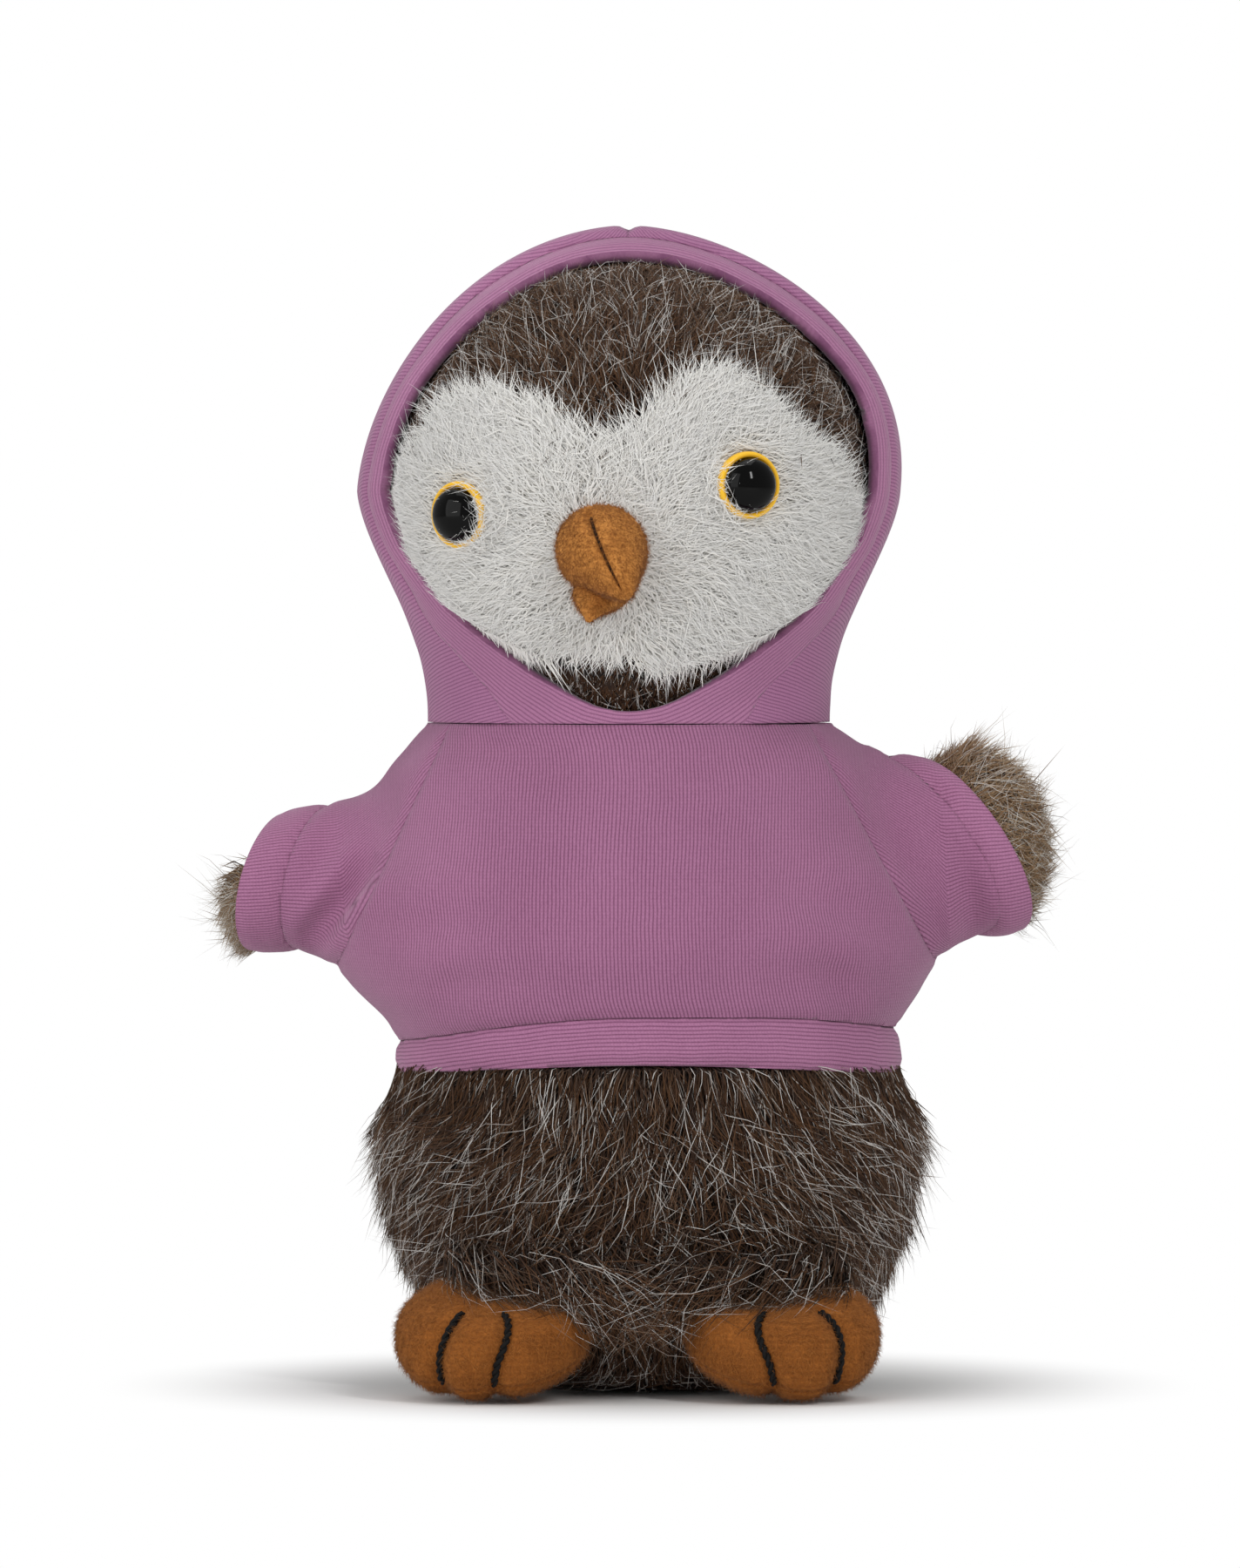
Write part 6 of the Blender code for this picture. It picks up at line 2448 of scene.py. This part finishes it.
@dataclass(frozen=True)
class Cone:
    """A blunt stuffed cone that bends down and to the right towards its tip."""

    name: str
    node: str
    start: Vector
    direction: Vector
    length: float
    width: float
    depth: float
    droop: float
    turn: float
    seam: float
    blunt: float
    nap_count: int
    seam_angle: float = math.pi / 2 - 0.3

    def centre_line(self, share: Array) -> Array:
        """Points along the bent middle."""
        bend = np.stack([self.turn * share**2, 0 * share, -self.droop * share**2], 1)
        return np.array(self.start) + share[:, None] * self.length * np.array(self.direction) + bend

    def grid(self) -> Array:
        """Rings from root to tip, with the seam's groove along the ridge.

        Returns:
            Points as (34, 72, 3).
        """
        share = np.concatenate([np.linspace(0, 0.8, 24, endpoint=False), np.linspace(0.8, 1, 10)])
        size = np.cos(share * math.radians(86)) ** self.blunt
        across = np.array(self.direction.cross(Vector((0, 0, 1))).normalized())
        slope = unit(np.gradient(self.centre_line(share), axis=0))
        upward = unit(np.cross(across, slope))
        angle = np.linspace(0, 2 * math.pi, 72, endpoint=False)
        off = np.angle(np.exp(1j * (angle - self.seam_angle)))
        groove = self.seam * np.exp(-(off / 0.09) ** 2)
        puff = 0.25 * self.seam * np.exp(-((np.abs(off) - 0.38) / 0.2) ** 2)
        loss = (groove - puff)[None, :] * smooth(share, 0.22, 0.34)[:, None]
        wide = (self.width / 2 * size)[:, None] - loss
        high = (self.depth / 2 * size)[:, None] - loss
        ring = across * (np.maximum(wide, 0.05 * MM) * np.cos(angle))[..., None]
        ring = ring + upward[:, None] * (np.maximum(high, 0.05 * MM) * np.sin(angle))[..., None]
        return self.centre_line(share)[:, None] + ring

    def build(self) -> None:
        """Build and dress the cone and its nap."""
        form = grid_object(self.name, self.grid())
        velour = VelourFinish(f"golden velour {self.name}", "#A5682F", "#D49049", "#F0B66F")
        finish_piece(form, velour.make(), Body.HEAD, (self.node,))
        roots = scatter(form, self.nap_count, 101, lambda p: p[:, 1] < -32 * MM)
        rng = np.random.default_rng(103)
        comb = np.array([0.1, -0.5, -0.8]) + rng.normal(size=roots.place.shape) * 0.7
        pile = Pile(self.nap_count, 0.8 * MM, 0.3, 0.10 * MM, 1.1, 0.8, 0.4, 0.0, 1)
        nap = strands_object(f"{self.name}_nap", [grow(roots, comb, pile, 104)], 0.85)
        finish_piece(nap, VELOUR_FUZZ.make(), Body.HEAD)
        if self.seam > 0:
            self.sew()
        LOG.info("%s: %d fibres", self.name, self.nap_count)

    def sew(self) -> None:
        """Lay the dark seam thread in the groove; its near-black colour is partly the thread's own
        and partly painted shade of the groove.
        """
        spots = self.grid()
        column = round(self.seam_angle / (2 * math.pi) * spots.shape[1])
        path = spots[10:-1, column] + np.array([0, 0, 0.12 * MM])
        seam = grid_object(f"{self.name}_seam",
                           tube_spots(path, 0.3 * MM, np.array([1.0, 0, 0])))
        # The thread's near-black colour is partly its own and partly painted shade of the seam's
        # groove.
        finish_piece(seam, thread_finish("brown beak seam thread with painted groove shade", "#150A03", "#38200E").make(),
                     Body.HEAD)


def beak_cones() -> list[Cone]:
    """Both cones, sewn to the face at the height of the CAD's.

    Returns:
        Upper and lower cone.
    """
    point, outward = head_point(-YAW, 126 * MM, FACE_LOFT)
    level = Vector((outward.x, outward.y, 0)).normalized()
    start = point - level * 4 * MM
    low = start - Vector((0, 0, 6.5 * MM))
    return [
        Cone("velour_upper_beak", "upper_beak", start, level, 15 * MM, 14 * MM, 14 * MM, 6.8 * MM,
             4.8 * MM, 0.9 * MM, 0.66, 9000),
        Cone("velour_lower_beak", "lower_beak", low, level, 11 * MM, 8.6 * MM, 6 * MM, 4.2 * MM,
             -0.8 * MM, 0.0, 0.9, 2500),
    ]


# ---------------- studio

@dataclass
class Studio:
    """Camera, lamps, world and floor."""

    aim: tuple[float, float, float] = (-0.0043, 0.0, 0.0906)
    distance: float = 1.6
    elevation: float = math.radians(1)
    lens: float = 243.2

    def aimed(self, name: str, data: ID, place: Vector) -> Object:
        """Put a camera or a lamp in the scene, looking at the owl.

        Args:
            name: its name.
            data: the camera's or lamp's data.
            place: where it stands.

        Returns:
            Its object.
        """
        made = bpy.data.objects.new(name, data)
        made.location = place
        made.rotation_mode = "QUATERNION"
        made.rotation_quaternion = (Vector(self.aim) - place).to_track_quat("-Z", "Y")
        bpy.context.scene.collection.objects.link(made)
        return made

    def camera(self) -> None:
        """A long lens level with the owl, as in the photograph."""
        data = bpy.data.cameras.new("camera")
        data.lens = self.lens
        data.sensor_width = 36
        data.sensor_fit = "AUTO"
        back = Vector((0, -math.cos(self.elevation), math.sin(self.elevation)))
        place = Vector(self.aim) + back * self.distance
        bpy.context.scene.camera = self.aimed("camera", data, place)

    def lamp(self, name: str, place: tuple[float, float, float], size: tuple[float, float],
             power: float) -> None:
        """One soft box that looks at the owl.

        Args:
            name: its name.
            place: where it stands.
            size: its width and height.
            power: in watts.
        """
        data = bpy.data.lights.new(name, "AREA")
        data.shape = "RECTANGLE"
        data.size, data.size_y = size
        data.energy = power
        self.aimed(name, data, Vector(place))

    def world(self) -> None:
        """Even pale surroundings, plain white where the camera sees them."""
        made = bpy.data.worlds.new("studio")
        bpy.context.scene.world = made
        made.use_nodes = True
        tree = made.node_tree
        tree.nodes.clear()
        seen = add_node(tree, "LightPath").outputs["Is Camera Ray"]
        light, backdrop = (add_node(tree, "Background", linear("#FFFFFF"), strength)
                           for strength in (0.42, 1.0))
        mixed = add_node(tree, "MixShader", seen, light, backdrop)
        add_node(tree, "OutputWorld", mixed)

    def floor(self) -> None:
        """A pale floor that keeps the owl's shadow and turns plain white away from it."""
        mesh = bmesh.new()
        bmesh.ops.create_circle(mesh, cap_ends=True, segments=96, radius=6.0)
        made = object_of("floor", mesh)
        made.location.z = -0.0002
        material, tree, shader = new_material(
            "pale studio floor", {"Base Color": linear("#F6F6F5"), "Roughness": 0.9})
        where = add_node(tree, "TexCoord").outputs["Object"]
        away = add_node(tree, "VectorMath", where, operation="LENGTH").outputs["Value"]
        far = add_node(tree, "MapRange", away, 0.04, 0.085, interpolation_type="SMOOTHSTEP")
        seen = add_node(tree, "LightPath").outputs["Is Camera Ray"]
        share = add_node(tree, "Math", far, seen, operation="MULTIPLY")
        white = add_node(tree, "Emission", linear("#FFFFFF"), 1.0)
        mixed = add_node(tree, "MixShader", share, shader, white)
        tree.links.new(mixed.outputs[0], tree.nodes["Material Output"].inputs[0])
        made.data.materials.append(material)

    def build(self) -> None:
        """Set the scene up."""
        scene = bpy.context.scene
        scene.view_settings.view_transform = "Standard"
        self.camera()
        self.world()
        self.floor()
        self.lamp("right soft box", (0.5, -0.85, 0.7), (0.12, 0.42), 3.4)
        self.lamp("left soft box", (-0.85, -0.8, 0.45), (1.2, 1.2), 6.2)
        self.lamp("top soft box", (0.0, 0.1, 1.1), (0.7, 0.7), 2.4)


# ---------------- making it

def inner_parts() -> None:
    """Give the CAD nodes hidden inside a fitting material of their own."""
    # Cloudy fibre in 3 mm tufts, pellets 2.5 mm across under thin cloth, and moulded plastic
    fibre = GrainFinish("white fibre filling", "#D8D8D4", "#F6F6F3", 330.0, 0.8 * MM, 1.0)
    pellets = GrainFinish("pellet bag cloth", "#B9B7AF", "#DCDAD2", 400.0, 0.9 * MM, 0.85,
                          "TexVoronoi")
    plastic = GrainFinish("moulded white washer", "#DEDEDC", "#EAEAE8", 900.0, 0.02 * MM, 0.4)
    for names, material in (
            (("body_filling", "head_filling"), fibre), (("pellet_pouch",), pellets),
            (("left_eye_washer", "right_eye_washer"), plastic)):
        made = material.make()
        for name in names:
            for slot in bpy.data.objects[name].material_slots:
                slot.link = "OBJECT"
                slot.material = made


def main() -> None:
    """Build every piece in order."""
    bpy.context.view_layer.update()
    Studio().build()
    FurBody().build()
    Sweatshirt().build()
    Head().build()
    Hood().build()
    for cone in beak_cones():
        cone.build()
    Wing(LEFT_ARM, 23 * MM, 8.8 * MM, 8.0 * MM, 0.9, 2.5 * MM).build()
    Wing(RIGHT_ARM, 21 * MM, 12.2 * MM, 8.4 * MM, 0.0, 20 * MM).build()
    for foot in FEET:
        foot.build()
    inner_parts()


if __name__ == "__main__":
    main()
